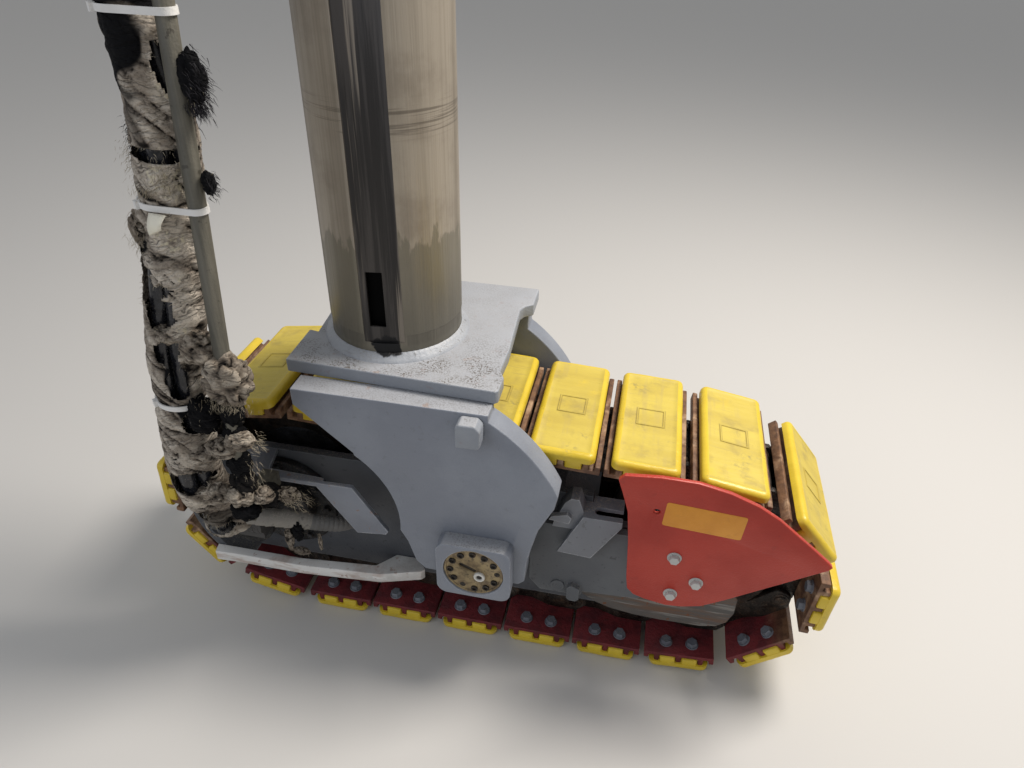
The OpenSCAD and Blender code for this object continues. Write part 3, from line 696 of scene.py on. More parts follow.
def cheek_grit_and_top_highlight(colour):
    return plate_grit_and_top_highlight(colour, 0.35)


fork_paint = painted("fork_paint", "7b808a", "868b94", "6b6258", "55524e", 0.42, 0.2, 0.15, extra=cheek_grit_and_top_highlight,
                     edge_wear_and_highlight="b4bac2")
# The saddle plate and lug get a lighter copy of the fork's grey: painted light on the top of the fork.
saddle_paint_lit = painted("saddle_paint_lit", "868b93", "91969d", "8a8378", "7a4a30", 0.42, 0.25, 0.15,
                       extra=plate_grit_and_top_highlight, edge_wear_and_highlight="c4c8cc")
for node in ("cheek_outer", "cheek_inner", "axle_flange_outer", "axle_flange_inner"):
    rounded(node, fork_paint, 0.002)
rounded("lifting_lug", saddle_paint_lit, 0.005, 4)
rounded("fork_plate_top", saddle_paint_lit, 0.0025, 3)

# Weld that joins the column to the saddle plate: a bead laid by hand, rippled all round, then sprayed
# over with the fork. Its grey is lighter than the fork's: a painted highlight on the bead.
weld_paint = painted("weld_paint", "9a9ea4", "abafb4", "8a8379", "5b5752", 0.33, 0.5, 0.5, extra=grease_run)
column_x = middle_of("column_tube").x
weld_inner = 0.1122
weld_profile = ((0.0, 0.0), (0.0140, 0.0), (0.0128, 0.0028), (0.0096, 0.0058), (0.0060, 0.0092),
                (0.0028, 0.0126), (0.0, 0.0140))
weld = bmesh.new()
weld_rings = []
for angle in around(360):
    way = Vector((cos(angle), sin(angle), 0))
    ripple = 0.5 + 0.5 * sin(angle * 74 + 2 * noise.noise(way * 3))
    ring = []
    for outwards, up in weld_profile:
        wander = 0.0012 * noise.noise((cos(angle) * 5, sin(angle) * 5, up * 90))
        reach = weld_inner + outwards * (0.95 + 0.022 * ripple) + (wander if outwards and up else 0)
        ring.append(weld.verts.new((column_x + reach * cos(angle), reach * sin(angle),
                                    plate_top + up * (0.95 + 0.025 * ripple))))
    weld_rings.append(ring)
skin(weld, weld_rings, True, True)
bmesh.ops.recalc_face_normals(weld, faces=weld.faces)
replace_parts(link_piece("column_weld_bead", weld, weld_paint, "fork_column", 60), "column_weld")


# Caps of the pivot axle: turned brass-coloured discs, screwed into the square flanges. Twelve screw
# places go round each, a slot takes the grease pipe, and a white plug closes the nipple's hole.
def stained(colour):
    colour = over(colour, "5d4c36", speckle(45, 0.40, 0.62, 7), 0.85)
    return over(colour, "2f2822", speckle(120, 0.55, 0.68, 6), 0.7)


cap_brass = painted("cap_brass", "a8946c", "8f7c58", "5c5140", "3a332a", 0.38, 0.5, 0.6, extra=stained)
rounded("column_gland", cap_brass, 0.0015)
screw_black = greasy("screw_black", "34302c", "171412", "4a3a2c", 0.3)
plug_white = painted("plug_white", "d9d8d2", "c8c6be", "9a948a", "8a857c", 0.4, 0.3)
cap_face = 0.0072
screw_ring = 0.0425
flush = ((0.0052, -0.001), (0.0052, 0.0003), (0.004, 0.0005))
raised = ((0.0062, -0.001), (0.0062, 0.0022), (0.0056, 0.0028), (0.0036, 0.0028), (0.0034, 0.0006),
          (0.001, 0.0006))
for side, node in ((-1, "axle_cap_outer"), (1, "axle_cap_inner")):
    low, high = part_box(node)
    cap_r = (high[0] - low[0]) / 2
    cap_z = (low[2] + high[2]) / 2
    seat_y = high[1] if side < 0 else low[1]
    front = (0, side, 0)
    cap = bmesh.new()
    turned(cap, (0, seat_y, cap_z), front, ((cap_r, 0), (cap_r, 0.0080), (cap_r - 0.001, 0.0090),
           (cap_r - 0.0040, 0.0090), (cap_r - 0.0050, cap_face), (0.004, cap_face)), 96)
    made = link_piece(node + "_turned", cap, cap_brass, "fork_column")
    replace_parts(made, node)
    slot_place = Matrix.Translation((0.011 * side, seat_y + side * cap_face, cap_z + 0.006))
    slot_place @= Matrix.Rotation(radians(-25 * side), 4, "Y") @ Matrix.Rotation(radians(-90 * side), 4, "X")
    slot_place @= Matrix.Scale(-side, 4, (0, 0, 1))

    def slot_form(inset, floor, top):
        """The cap's slot, or the black slab in its floor that serves as painted shade."""
        shape = bmesh.new()
        stacked(shape, [(rounded_outline(0.0175 - inset, 0.0058 - inset, 0.0057 - inset, 6, 2), height)
                        for height in (floor, top)])
        bmesh.ops.transform(shape, verts=shape.verts, matrix=slot_place)
        bmesh.ops.recalc_face_normals(shape, faces=shape.faces)
        return shape

    carved(made, slot_form(0, -0.0052, 0.003))
    # The slot's floor is filled with a black slab: painted shade in the slot.
    heads = slot_form(0.0001, -0.0052, -0.0040)
    plug_place = Vector((-0.011 * side, seat_y + side * cap_face, cap_z - 0.010))
    turned(heads, plug_place + 0.0022 * Vector(front), front,
           ((0.0048, 0), (0.0048, 0.0008), (0.0040, 0.0010)), 20)
    for number in range(12):
        angle = radians(30 * number + 2)
        spot = (screw_ring * cos(angle), seat_y + side * cap_face, cap_z + screw_ring * sin(angle))
        turned(heads, spot, front, flush if number in (0, 8) else raised, 20)
    link_piece(node + "_screws", heads, screw_black, "fork_column")
    plug = bmesh.new()
    turned(plug, plug_place, front, ((0.0102, -0.001), (0.0102, 0.0032), (0.0092, 0.0044), (0.0062, 0.0044),
           (0.0056, 0.0024), (0.001, 0.0024)), 32)
    link_piece(node + "_plug", plug, plug_white, "fork_column")

# Lifting column: a thick tube, turned and worn bare, brushed up and down by its guide, with a key
# groove that is black with grease. The rod in it is chrome plated. The slot at the groove's foot is
# painted near black without shine, as painted shade.
column_steel = new_material("column_steel")
streak = grain((34, 34, 0.7), 0.36, 0.66, 6)
colour = mix(streak, "a3998a", "877e70")
colour = over(colour, "b4aa9b", grain((260, 260, 2.5), 0.35, 0.7, 4), 0.35)
colour = over(colour, "6f6456", speckle(11, 0.45, 0.7, 6), 0.4)
height = height_of()
band = times(cut(height, 0.985, 1.0), cut(height, 1.05, 1.03))
colour = over(colour, "51483d", band, grain((5, 5, 190), 0.5, 0.62, 3, (0.1, 0.08, 0)), 0.6)
colour = over(colour, "6b6660", cut(height, plate_top + 0.20, plate_top + 0.03), 0.55)
stroke = add("TexNoise", Vector=mapped((60, 60, 16)), Scale=1.0, Detail=6.0)
smear_top = maths("MULTIPLY_ADD", stroke, 0.14, height)
colour = over(colour, "6e6a5b", cut(smear_top, plate_top + 0.278, plate_top + 0.266), 0.7)
radius = distance_from((column_x, 0, 0), (1, 1, 0))
groove = times(cut(radius, 0.1125, 0.1105), cut(height, plate_top + 0.020, plate_top + 0.028))
grease = mix(grain((90, 90, 3), 0.42, 0.6, 7), "2e2b29", "474340")
grease = over(grease, "8b8276", grain((60, 60, 1.2), 0.56, 0.64, 4), 0.9)
# Painted shade: the slot at the groove's foot is near black, with no metal shine and little specular.
slot_shade = cut(radius, 0.1040, 0.1025)
colour = mix(slot_shade, grease_run(mix(groove, colour, grease)), "060606")
feed(shader, Base_Color=colour, Roughness=ramp(streak, 0.40, 0.54), Metallic=ramp(slot_shade, 0.35, 0.0),
     Specular_IOR_Level=ramp(slot_shade, 0.50, 0.03))
bumped(grain((220, 220, 6), 0.3, 0.7, 4), 0.0004, 0.4)
rounded("column_tube", column_steel, 0.001)

rod_chrome = new_material("rod_chrome")
feed(shader, Base_Color=mix(speckle(40, 0.4, 0.7), "d4d6d8", "bfc2c5"), Metallic=1.0, Roughness=0.12)
rounded("lift_rod", rod_chrome, 0.001)


# Steel rod that carries the hoses, with a flat foot on the hose guard. Brown with a film of rust,
# streaked lengthways.
def rod_streaks(colour):
    return over(colour, "6c685c", grain((120, 120, 5), 0.4, 0.65), 0.7)


stay_rust = painted("stay_rust", "57544a", "48453c", "736e5f", "2c261e", 0.5, 0.3, 0.6, extra=rod_streaks)
rounded("hose_stay", stay_rust, 0.001)

# Hose bundle: four black hydraulic hoses in a woven sleeve that is tied to the rod and torn open in
# many places. Its route is the one that the solids follow, from the bulkhead down to the ferrules.
bundle_route = [Vector(point) / 1000 for point in (
    (-404, -232, 1330.8), (-404, -232, 1250), (-398, -232, 1160), (-394, -232, 1060), (-398, -233, 980),
    (-410, -235, 920), (-421, -236, 855), (-437, -238, 775), (-457, -240, 685), (-466, -243, 600),
    (-474, -246, 520), (-475, -249, 450), (-474, -244, 415), (-471, -234, 385), (-467, -221, 355),
    (-465, -214, 330), (-465, -214, 300.3))]


def smooth_route(points, step):
    """Points every step along a smooth curve through the points of a route."""
    ends = [2 * points[0] - points[1]] + points + [2 * points[-1] - points[-2]]
    fine = []
    for before, start, stop, after in zip(ends, ends[1:], ends[2:], ends[3:]):
        pieces = max(2, round((stop - start).length / step))
        for piece in range(pieces):
            t = piece / pieces
            fine.append(0.5 * (2 * start + (stop - before) * t
                               + (2 * before - 5 * start + 4 * stop - after) * t ** 2
                               + (3 * start - before - 3 * stop + after) * t ** 3))
    return fine + [points[-1]]


def tube_frames(route, across=Vector((1, 0, 0))):
    """For each point of a route: the point, its direction and two directions square to it."""
    frames = []
    for place, point in enumerate(route):
        way = (route[min(place + 1, len(route) - 1)] - route[max(place - 1, 0)]).normalized()
        front = way.cross(across).normalized()
        frames.append((point, way, front, way.cross(front)))
    return frames


def swept(shape, frames, sides, radius):
    """Adds a closed tube. radius gives its size from the place on the route and the angle round it."""
    skin(shape, [[shape.verts.new(point + radius(place, angle) * (cos(angle) * front + sin(angle) * side_way))
                  for angle in around(sides)]
                 for place, (point, way, front, side_way) in enumerate(frames)], flip=True)


hose_r = 0.0145
hose_offset = 0.0205
hose_twist = 2.2


def hose_angle(point):
    """How far the hoses have twisted round each other."""
    return pi / 4 + hose_twist * (point.z - 0.7)


sleeve_frames = tube_frames(smooth_route(bundle_route, 0.0031))
hoses = bmesh.new()
for number in range(4):
    strand = []
    for point, way, front, side_way in sleeve_frames[::3] + sleeve_frames[-1:]:
        angle = hose_angle(point) + pi / 2 * number
        strand.append(point + hose_offset * (cos(angle) * front + sin(angle) * side_way))
    swept(hoses, tube_frames(strand), 20, lambda place, angle: hose_r)
hose_black = new_material("hose_black")
colour = mix(speckle(70, 0.42, 0.66, 7), "141519", "28292e")
feed(shader, Base_Color=over(colour, "8b8479", speckle(380, 0.58, 0.68, 5), 0.35), Roughness=0.2)
bumped(speckle(160, 0.3, 0.7, 4), 0.0003, 0.4)
link_piece("bundle_hoses", hoses, hose_black, sharp=60)

# Tears of the sleeve, where the cloth has worn through and the hoses show: height, angle from the
# outer side, half height and half angle of each.
sleeve_tears = ((1.205, 0.5, 0.03, 0.8), (1.104, -1, 0.034, 0.26), (1, -0.15, 0.0085, 1.3),
    (0.88, 0.75, 0.024, 0.36), (0.812, 0.75, 0.032, 0.55), (0.78, 0.1, 0.036, 0.6),
    (0.706, -0.25, 0.03, 0.42), (0.648, -0.5, 0.03, 0.36), (0.58, -1, 0.026, 0.55),
    (0.456, -0.15, 0.02, 0.95), (0.385, 0.5, 0.018, 0.8), (0.33, 0.2, 0.02, 1.2), (0.32, 2.6, 0.024, 1.2),
    (0.52, 2.9, 0.03, 0.8), (0.85, 3, 0.035, 0.7), (1.12, 2.8, 0.03, 0.7))

# Parts of the sleeve that differ: height, angle, half height, half angle, tone and smoothness.
# A tone of 1 is pale dusty cloth, 0 is cloth as it is and -1 is near black.
sleeve_parts = ((1.18, 0, 0.03, 9, -0.9, 0.9), (1.128, 0.25, 0.048, 1.25, -1, 0.9),
    (1.1, 1.3, 0.08, 0.75, 0.25, 0.9), (1.095, -0.95, 0.048, 0.45, 1, 0),
    (1.05, 0.5, 0.06, 1.3, -0.42, 0.4), (1.046, -0.7, 0.034, 0.7, 0.35, 0),
    (0.968, -0.5, 0.038, 0.95, 1.6, 0), (0.968, 0.8, 0.03, 0.7, 0.45, 0),
    (0.944, 0.2, 0.01, 1.2, -0.8, 0), (0.888, -0.6, 0.048, 0.85, 1.1, 0.8),
    (0.88, 0.75, 0.04, 0.45, -0.8, 0.3), (0.838, 0.1, 0.022, 1.4, 0.6, 0),
    (0.79, -0.9, 0.07, 0.7, 0.9, 0), (0.73, 0.2, 0.026, 1.5, 0.2, 0), (0.66, -0.4, 0.06, 0.55, -1, 0.2),
    (0.665, 0.9, 0.06, 0.7, 0.3, 0), (0.59, -1, 0.034, 0.8, -1, 0.3), (0.57, 0.6, 0.04, 0.8, 0.55, 0),
    (0.5, 0, 0.024, 1.6, 0.7, 0), (0.456, -0.1, 0.026, 1.1, -0.8, 0.5), (0.41, 0, 0.018, 1.8, 0.9, 0),
    (0.36, 0, 0.03, 3, -0.5, 0))
tie_heights = (1.164, 0.931, 0.606)
tied_reach = 0.0376
loose_more = 0.0069
fold_depth = 0.0095
fold_slant = 0.028
fray_start = -0.35


def away(height, angle, middle_height, middle_angle, half_height, half_angle):
    """Distance from the middle of a part of the sleeve, as a share of its size."""
    turn = (angle - middle_angle + pi) % (2 * pi) - pi
    return hypot((height - middle_height) / half_height, turn / half_angle)


def torn(height, angle, spot):
    """How far inside a tear a point lies: over 0 in the hole, just under it along the frayed edge."""
    depth = max(1 - min(away(height, angle, *tear), 2) for tear in sleeve_tears)
    return depth + 0.55 * noise.noise(spot * 55) + 0.2 * noise.noise(spot * 190) if depth > -1 else depth


def part_of(height, angle, spot):
    """Tone and smoothness of the sleeve at a point."""
    tone, calm = 0.0, 0.0
    for *part, part_tone, part_calm in sleeve_parts:
        near = 1 - away(height, angle, *part) + 0.5 * noise.noise(spot * 38)
        near = min(1, 1.8 * max(0, near))
        tone += part_tone * near
        calm = max(calm, part_calm * near)
    return max(-1, min(1, tone)), min(1, calm)


def fold_of(place, small_place, share):
    """Height of the cloth's folds, from 0 to 1: large and small round folds with narrow creases."""
    large, small = (min(1, 2.6 * abs(noise.noise(one))) for one in (place, small_place))
    return share * (1 - (1 - large) ** 2) + (1 - share) * (1 - (1 - small) ** 2)


def sleeve_fold(spot_round, run, broad):
    return fold_of(Vector((spot_round.x * 0.7, spot_round.y * 0.7, run * broad)),
                   Vector((spot_round.x * 1.3 + 7, spot_round.y * 1.3, run * broad * 1.8)), 0.66)


def eased(reach, limit, soft=0.006):
    """A reach that comes up to its limit without a flat."""
    over = reach - (limit - soft)
    return reach if over < 0 else limit - soft * exp(-over / soft)


sleeve = bmesh.new()
sleeve_rings, sleeve_folds, sleeve_tones, edge_spots = [], [], [], []
for point, way, front, side_way in sleeve_frames:
    ring = []
    squeezed = min(abs(point.z - height) for height in tie_heights)
    limit = tied_reach + loose_more * min(1, max(0, squeezed - 0.005) / 0.016)
    for angle in around(96):
        lobe = max(hose_offset * cos(angle - hose_angle(point) - pi / 2 * number) for number in range(4))
        spot_round = Vector((cos(angle), sin(angle)))
        slant = point.z - fold_slant * sin(angle) + 0.006 * noise.noise((0, angle, point.z * 9))
        fold = sleeve_fold(spot_round, slant, 36 if point.z > 1.0 else 46)
        loose = 0.5 + 0.5 * noise.noise((spot_round.x * 0.8, spot_round.y * 0.8, point.z * 7))
        outwards = cos(angle) * front + sin(angle) * side_way
        spot = point + 0.03 * outwards
        depth = torn(point.z, angle, spot)
        tone, calm = part_of(point.z, angle, spot)
        reach = lobe + hose_r + 0.0012 + 0.0030 * loose + fold_depth * fold * (1 - 0.85 * calm) + 0.002 * calm
        if depth > fray_start:
            reach += 0.0035 * (depth - fray_start) + 0.004 * max(0, noise.noise(spot * 120))
        corner = sleeve.verts.new(point + eased(reach, limit) * outwards)
        ring.append((corner, depth))
        sleeve_folds.append(fold * (1 - calm) + 0.62 * calm)
        sleeve_tones.append(0.5 + 0.5 * tone)
        if -0.12 < depth < 0.02:
            edge_spots.append((corner.co.copy(), outwards.copy()))
    sleeve_rings.append(ring)
for low, high in zip(sleeve_rings, sleeve_rings[1:]):
    for corners in zip(low, high, high[1:] + high[:1], low[1:] + low[:1]):
        if sum(depth for corner, depth in corners) / 4 < 0:
            sleeve.faces.new([corner for corner, depth in corners])


def cloth_mesh(shape, name, folds, tones):
    """The finished mesh of a cloth form, with its folds and tones for the material."""
    mesh = bpy.data.meshes.new(name)
    shape.to_mesh(mesh)
    shape.free()
    attribute(mesh, "fold", folds)
    attribute(mesh, "tone", tones)
    mesh.shade_smooth()
    return mesh


def woven(name, dark, light, dust):
    """Woven sleeve cloth: painted shade in its creases, dust and painted highlight on its folds, with loose
    pale threads.
    """
    material = new_material(name)
    fold, tone = given("fold"), given("tone")
    sway = add("TexNoise", out="Color", Vector=mapped(), Scale=22.0, Detail=3.0)
    bent = maths("MULTIPLY_ADD", sway, (0.03, 0.03, 0.03), mapped(), kind="VectorMath")
    wave = add("TexNoise", Vector=mapped((1, 1, 3.2), (0.25, 0.35, 0), bent), Scale=27.0, Detail=2.0)
    valley = maths("ABSOLUTE", maths("SUBTRACT", wave, 0.5))
    # Colour by fold height: painted shade in the valleys, near black in the deepest, dust and painted
    # highlight on the crests.
    colour = mix(cut(fold, 0.28, 0.62), dark, light)
    colour = mix(cut(fold, 0.34, 0.16), colour, "131211")
    colour = over(colour, dust, cut(fold, 0.60, 0.95), speckle(26, 0.34, 0.58, 7), 0.9)
    pale_part = times(cut(tone, 0.55, 0.95), cut(fold, 0.22, 0.55), 0.85)
    colour = over(colour, dust, pale_part, speckle(60, 0.30, 0.55, 5))
    colour = over(colour, dark, speckle(300, 0.52, 0.64, 6), 0.35)
    # Painted shade along the valleys of the fine wrinkles.
    colour = over(colour, "1b1817", cut(valley, 0.034, 0.004), speckle(40, 0.36, 0.60), 0.7)
    colour = over(colour, "e0d6bc", cut(tone, 0.95, 1.0), speckle(110, 0.50, 0.60, 6), 0.8)
    colour = over(colour, "a89c8b", grain((60, 60, 420), 0.58, 0.66, 4), 0.25)
    oily = times(speckle(16, 0.52, 0.64, 6, mapped((1, 1, 2.5))), cut(height_of(), 1.25, 0.35))
    colour = over(colour, "1d1b1b", oily, cut(tone, 0.8, 0.5), 0.3)
    colour = mix(cut(tone, 0.42, 0.16), colour, "0d0d10")
    feed(shader, Base_Color=colour, Roughness=0.85, Specular_IOR_Level=0.15)
    cords = add("TexWave", {"bands_direction": "Z"}, "Fac", Vector=mapped(turn=(0.5, 0, 0.4)), Scale=240.0,
                Distortion=3.0)
    bumped(maths("MULTIPLY_ADD", cut(valley, 0.0, 0.13), 7.0, cords), 0.0007, 0.9)
    return material


sleeve_cloth = woven("sleeve_cloth", "332d28", "9c9184", "dcd2c3")
sleeve_mesh = cloth_mesh(sleeve, "hose_sleeve", sleeve_folds, sleeve_tones)
sleeve_piece = link_piece("hose_sleeve", sleeve_mesh, sleeve_cloth)
thick = sleeve_piece.modifiers.new("cloth", "SOLIDIFY")
thick.thickness = 0.0009
thick.offset = -1
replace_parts(sleeve_piece, "hose_bundle")


# Rags: lumps of the same cloth where the sleeve has slipped down and bunched up. They hide the rod's
# lower part and its foot. Each is a crumpled closed form: middle and half sizes in mm, and tone.
def rag(shape, folds, middle, size, seed, down=32):
    """Adds one crumpled lump of cloth."""
    rings = []
    for level in range(1, down):
        polar = pi * level / down
        ring = []
        for angle in around(44):
            way = Vector((sin(polar) * cos(angle), sin(polar) * sin(angle), cos(polar)))
            bent = way + 0.55 * noise.noise_vector(way * 1.2 + Vector((0, 0, seed)))
            fold = fold_of(Vector((bent.x + seed, bent.y, bent.z * 1.7)),
                           Vector((bent.x * 2.0, bent.y * 2.0 + seed, bent.z * 2.8)), 0.62)
            reach = 0.66 + 0.26 * fold + 0.14 * noise.noise(way * 2 + Vector((0, 0, seed)))
            ring.append(shape.verts.new(Vector(middle) + Vector([w * s * reach for w, s in zip(way, size)])))
            folds.append(fold)
        rings.append(ring)
    skin(shape, rings, flip=True)


rags = ((-366, -262, 664, 44, 32, 54, 0.9), (-402, -258, 712, 34, 30, 34, 0.85),
    (-446, -254, 732, 32, 28, 22, 0.8), (-374, -260, 602, 22, 20, 36, 0.05),
    (-378, -258, 556, 22, 20, 34, 0.05), (-420, -264, 590, 30, 26, 40, 0.02),
    (-474, -262, 498, 30, 24, 18, 0.85), (-436, -268, 512, 32, 22, 18, 0.9),
    (-400, -270, 530, 30, 22, 19, 0.95), (-366, -268, 550, 28, 20, 18, 0.85),
    (-381, -260, 496, 24, 21, 36, 0.15), (-382, -260, 452, 26, 22, 34, 0.3),
    (-466, -262, 418, 26, 22, 20, 0.9), (-426, -266, 426, 30, 24, 21, 0.85),
    (-388, -270, 430, 28, 22, 24, 0.95), (-354, -258, 426, 22, 20, 18, 0.8),
    (-384, -268, 398, 30, 26, 22, 0.2), (-362, -234, 404, 30, 30, 20, 0.3),
    (-330, -226, 404, 26, 18, 14, 0.75), (-318, -262, 1094, 19, 14, 36, 0),
    (-452, -250, 890, 17, 14, 30, 0.8), (-326, -262, 968, 10, 10, 18, 0),
    (-341, -200, 288, 14, 10, 30, 0.05), (-355, -208, 272, 10, 6, 34, 0.55),
    (-336, -206, 242, 20, 7, 10, 0.6), (-298, -200, 268, 4.5, 4, 26, 0.8))
rag_form = bmesh.new()
rag_folds, rag_tones = [], []
for number, (*box, tone) in enumerate(rags):
    x, y, z, *half = [one / 1000 for one in box]
    rag(rag_form, rag_folds, (x, y, z), half, 3.7 * number + 1)
    rag_tones += [0.62 * tone] * (len(rag_folds) - len(rag_tones))
rag_mesh = cloth_mesh(rag_form, "sleeve_rags", rag_folds, rag_tones)
rag_spots = [(corner.co.copy(), corner.normal.copy()) for corner in rag_mesh.vertices]
rag_cloth = woven("rag_cloth", "2a2522", "83786b", "bdb2a2")
link_piece("sleeve_rags", rag_mesh, rag_cloth)

# Frayed threads: they stand out along every torn edge, and in tufts beside the rod and where the
# cloth has come apart. Each tuft has a middle, spread, direction, count and length.
thread_random = random.Random(11)
gauss, uniform = thread_random.gauss, thread_random.uniform
thread_limit = -0.298


def thread(shape, start, way, length, width=0.0005, droop=0.5):
    """Adds one loose thread, as a thin ribbon of three bends."""
    point = Vector(start)
    way = Vector(way).normalized()
    side = way.cross(Vector((gauss(0, 1), gauss(0, 1), 1))).normalized() * width / 2
    last = [shape.verts.new(point - side), shape.verts.new(point + side)]
    for bend in range(3):
        way = (way + Vector((gauss(0, 0.30), gauss(0, 0.30), -droop * 0.35))).normalized()
        point = point + way * length / 3
        point.y = max(point.y, thread_limit)
        thin = 1 - bend / 2.5
        fresh = [shape.verts.new(point - side * thin), shape.verts.new(point + side * thin)]
        shape.faces.new((last[0], last[1], fresh[1], fresh[0]))
        last = fresh


def scattered(middle, spread):
    """A random place or direction about a middle one."""
    return Vector(middle) + Vector([gauss(0, one) for one in spread])


def tufted(shape, tufts, wild, *ribbon):
    """Adds tufts of threads."""
    for middle, spread, way, count, reach in tufts:
        for number in range(count):
            thread(shape, scattered(middle, spread), scattered(way, wild), reach * uniform(0.4, 1.0), *ribbon)


threads = bmesh.new()
for spot, outwards in thread_random.sample(edge_spots, min(len(edge_spots), 900)):
    thread(threads, spot, scattered(outwards, (0.7, 0.5, 0.8)), uniform(0.003, 0.009))
for spot, outwards in thread_random.sample(rag_spots, 350):
    thread(threads, spot, scattered(outwards, (0.6, 0.4, 0.6)), uniform(0.003, 0.007))
pale_tufts = (((-0.45, -0.25, 0.884), (0.006, 0.008, 0.012), (-0.6, -0.1, -0.8), 380, 0.017),
    ((-0.376, -0.276, 0.974), (0.009, 0.003, 0.015), (0.2, -0.5, -0.8), 260, 0.01),
    ((-0.404, -0.281, 0.956), (0.01, 0.002, 0.004), (-0.3, -0.5, -0.6), 130, 0.009),
    ((-0.44, -0.25, 0.985), (0.003, 0.008, 0.014), (-0.7, -0.2, -0.6), 140, 0.01),
    ((-0.366, -0.276, 0.628), (0.02, 0.008, 0.006), (0.1, -0.4, -1), 300, 0.011),
    ((-0.342, -0.264, 0.545), (0.006, 0.008, 0.009), (1, -0.2, 0.1), 90, 0.014),
    ((-0.356, -0.27, 0.49), (0.012, 0.006, 0.018), (0.3, -0.3, -1), 45, 0.022),
    ((-0.308, -0.236, 0.41), (0.012, 0.01, 0.006), (1, -0.2, -0.2), 110, 0.018))
tufted(threads, pale_tufts, (0.3, 0.3, 0.3), 0.00045)
cloth_threads = painted("cloth_threads", "978c78", "c9bda4", "aba08d", "4a443b", 0.9, 0.2)
link_piece("sleeve_threads", threads, cloth_threads)
black_tufts = (((-0.314, -0.262, 1.09), (0.006, 0.006, 0.014), (1, 0, -0.5), 700, 0.016),
    ((-0.32, -0.262, 1.062), (0.006, 0.005, 0.006), (0.4, 0, -1), 260, 0.016),
    ((-0.323, -0.262, 0.966), (0.004, 0.004, 0.008), (0.8, 0, -0.5), 220, 0.01),
    ((-0.434, -0.24, 1.012), (0.002, 0.006, 0.014), (-1, 0, -0.2), 300, 0.009))
tufts = bmesh.new()
tufted(tufts, black_tufts, (0.2, 0.25, 0.35), 0.0008, 0.9)
tuft_black = painted("tuft_black", "19181c", "26242a", "3d3a3c", "131214", 0.9, 0.2)
link_piece("sleeve_tufts", tufts, tuft_black)


# Cable ties: white nylon bands pulled round the bundle, two of them round the rod as well, each
# with its square head. A flag of white tape hangs from the middle one.
def hull_round(circles):
    """Outline of a band pulled tight round circles of (x, y, radius)."""
    outline = []
    for angle in around(64):
        way = Vector((cos(angle), sin(angle)))
        x, y, radius = max(circles, key=lambda circle: way.x * circle[0] + way.y * circle[1] + circle[2])
        outline.append(Vector((x, y)) + radius * way)
    return outline


def frame_at(height):
    """Middle of the bundle at a height."""
    return min((frame[0] for frame in sleeve_frames), key=lambda point: abs(point.z - height))


rod_foot, rod_head = Vector((-0.388, -0.260, 0.404)), Vector((-0.324, -0.260, 1.330))
tie_width = 0.0086
tie_thick = 0.0020
bundle_r = 0.0384
rod_r = 0.0125
ties = bmesh.new()
for height, tilt, with_rod in zip(tie_heights, (0.00, 0.01, 0.06), (True, True, False)):
    middle = frame_at(height)
    rod = rod_foot.lerp(rod_head, (height - rod_foot.z) / (rod_head.z - rod_foot.z))
    circles = [(middle.x, middle.y, bundle_r)] + ([(rod.x, rod.y, rod_r)] if with_rod else [])
    inner = hull_round(circles)
    outer = hull_round([(x, y, radius + tie_thick) for x, y, radius in circles])
    loops = [[ties.verts.new((p.x, p.y, height + level * tie_width / 2 - tilt * (p.x - middle.x)))
              for p in outline] for outline, level in ((inner, -1), (outer, -1), (outer, 1), (inner, 1))]
    skin(ties, loops, True)
    left = Vector((middle.x - 0.027, middle.y - 0.031, height + tilt * 0.028))
    bmesh.ops.create_cube(ties, size=1, matrix=Matrix.Translation(left) @ Matrix.Rotation(-0.7, 4, "Z")
                          @ Matrix.Diagonal((0.010, 0.007, 0.0105, 1)))
bmesh.ops.recalc_face_normals(ties, faces=ties.faces)
tie_white = painted("tie_white", "dfdedb", "cfcdca", "a9a49b", "8a857c", 0.4, 0.4, 0.2)
link_piece("cable_ties", ties, tie_white)
flag = bmesh.new()
flag_rows = 9
flag_top = frame_at(0.925) + Vector((0.012, -0.046, 0.001))
rows = []
for row in range(flag_rows):
    share = row / (flag_rows - 1)
    bend = 0.007 * sin(2.6 * share)
    half = 0.0135 - 0.0020 * share
    centre = flag_top + Vector((-0.007 * share, -bend, -0.025 * share))
    rows.append([flag.verts.new(centre + Vector((side * half, -0.002 * side, 0.006 * side * share)))
                 for side in (-1, -0.4, 0.3, 1)])
for low, high in zip(rows, rows[1:]):
    for side in range(3):
        flag.faces.new((low[side], low[side + 1], high[side + 1], high[side]))
tape_cream = painted("tape_cream", "e6e1cf", "d3cdb8", "a9a08c", "8a7c5c", 0.5, 0.4, 0.4)
flag_piece = link_piece("tape_flag", flag, tape_cream)
flag_piece.modifiers.new("tape", "SOLIDIFY").thickness = 0.0006

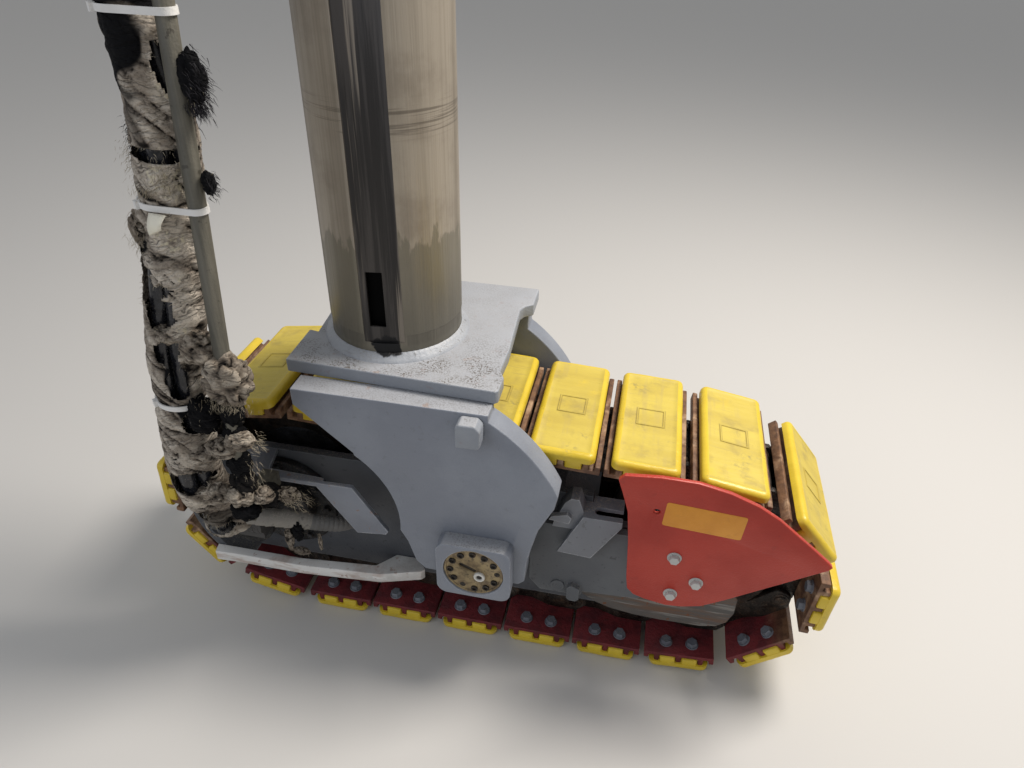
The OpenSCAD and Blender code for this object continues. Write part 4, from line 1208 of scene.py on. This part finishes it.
# Ribbed hose: a dusty rubber hose with moulded rings, which leaves the bundle at its foot and is
# screwed into a port on the side plate. Its first part is wrapped in strips of cloth.
ribbed_route = [Vector(point) / 1000 for point in (
    (-421.6, -214, 324), (-395, -212, 323), (-366, -200, 314), (-336, -184, 299), (-306, -170, 286),
    (-281, -155, 275), (-267, -138, 267), (-262, -122, 262), (-262, -113, 262))]
rib_step = 0.0085
ribbed_frames = tube_frames(smooth_route(ribbed_route, 0.0014), Vector((0, 0, 1)))
rib_run = [0.0]
for before, after in zip(ribbed_frames, ribbed_frames[1:]):
    rib_run.append(rib_run[-1] + (after[0] - before[0]).length)
ribbed = bmesh.new()
swept(ribbed, ribbed_frames, 28,
      lambda place, angle: 0.0138 + 0.0012 * min(1, 1.6 * abs(sin(pi * rib_run[place] / rib_step))))
port = ribbed_route[-1]
side_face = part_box("frame_beam")[0][1] - 0.0163
port_length = abs(side_face - port.y)
turned(ribbed, (port.x, side_face, port.z), (0, -1, 0),
       ((0.0198, 0), (0.0198, port_length - 0.001), (0.0188, port_length), (0.013, port_length)), 6)
turned(ribbed, (port.x, side_face - port_length, port.z), (0, -1, 0),
       ((0.0165, -0.001), (0.0165, 0.006), (0.0155, 0.007), (0.012, 0.007)), 28)
wrap_length = 0.115
wrap_turn = 0.017


def wrap_radius(place, angle):
    """Radius of the cloth strip, which laps over itself once a turn and thins out at its end."""
    run = rib_run[place]
    lap = (run / wrap_turn + angle / (2 * pi)) % 1
    uneven = noise.noise((cos(angle), sin(angle), run * 60))
    return 0.0172 - 0.0016 * lap + 0.0007 * uneven - 0.0022 * max(0, run / wrap_length - 0.85) / 0.15


wrap = bmesh.new()
swept(wrap, [frame for frame, run in zip(ribbed_frames, rib_run) if run <= wrap_length], 40, wrap_radius)
wrap_tape = painted("wrap_tape", "7f7b74", "928d84", "ada69a", "2f2d2b", 0.7, 0.6, 0.4)
link_piece("ribbed_hose_wrap", wrap, wrap_tape, sharp=40)
ribbed_rubber = painted("ribbed_rubber", "5d5c5a", "6b6967", "9b9488", "2c2b2a", 0.6, 0.9, 0.3)
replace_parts(link_piece("ribbed_hose_rings", ribbed, ribbed_rubber, sharp=50), "ribbed_hose")
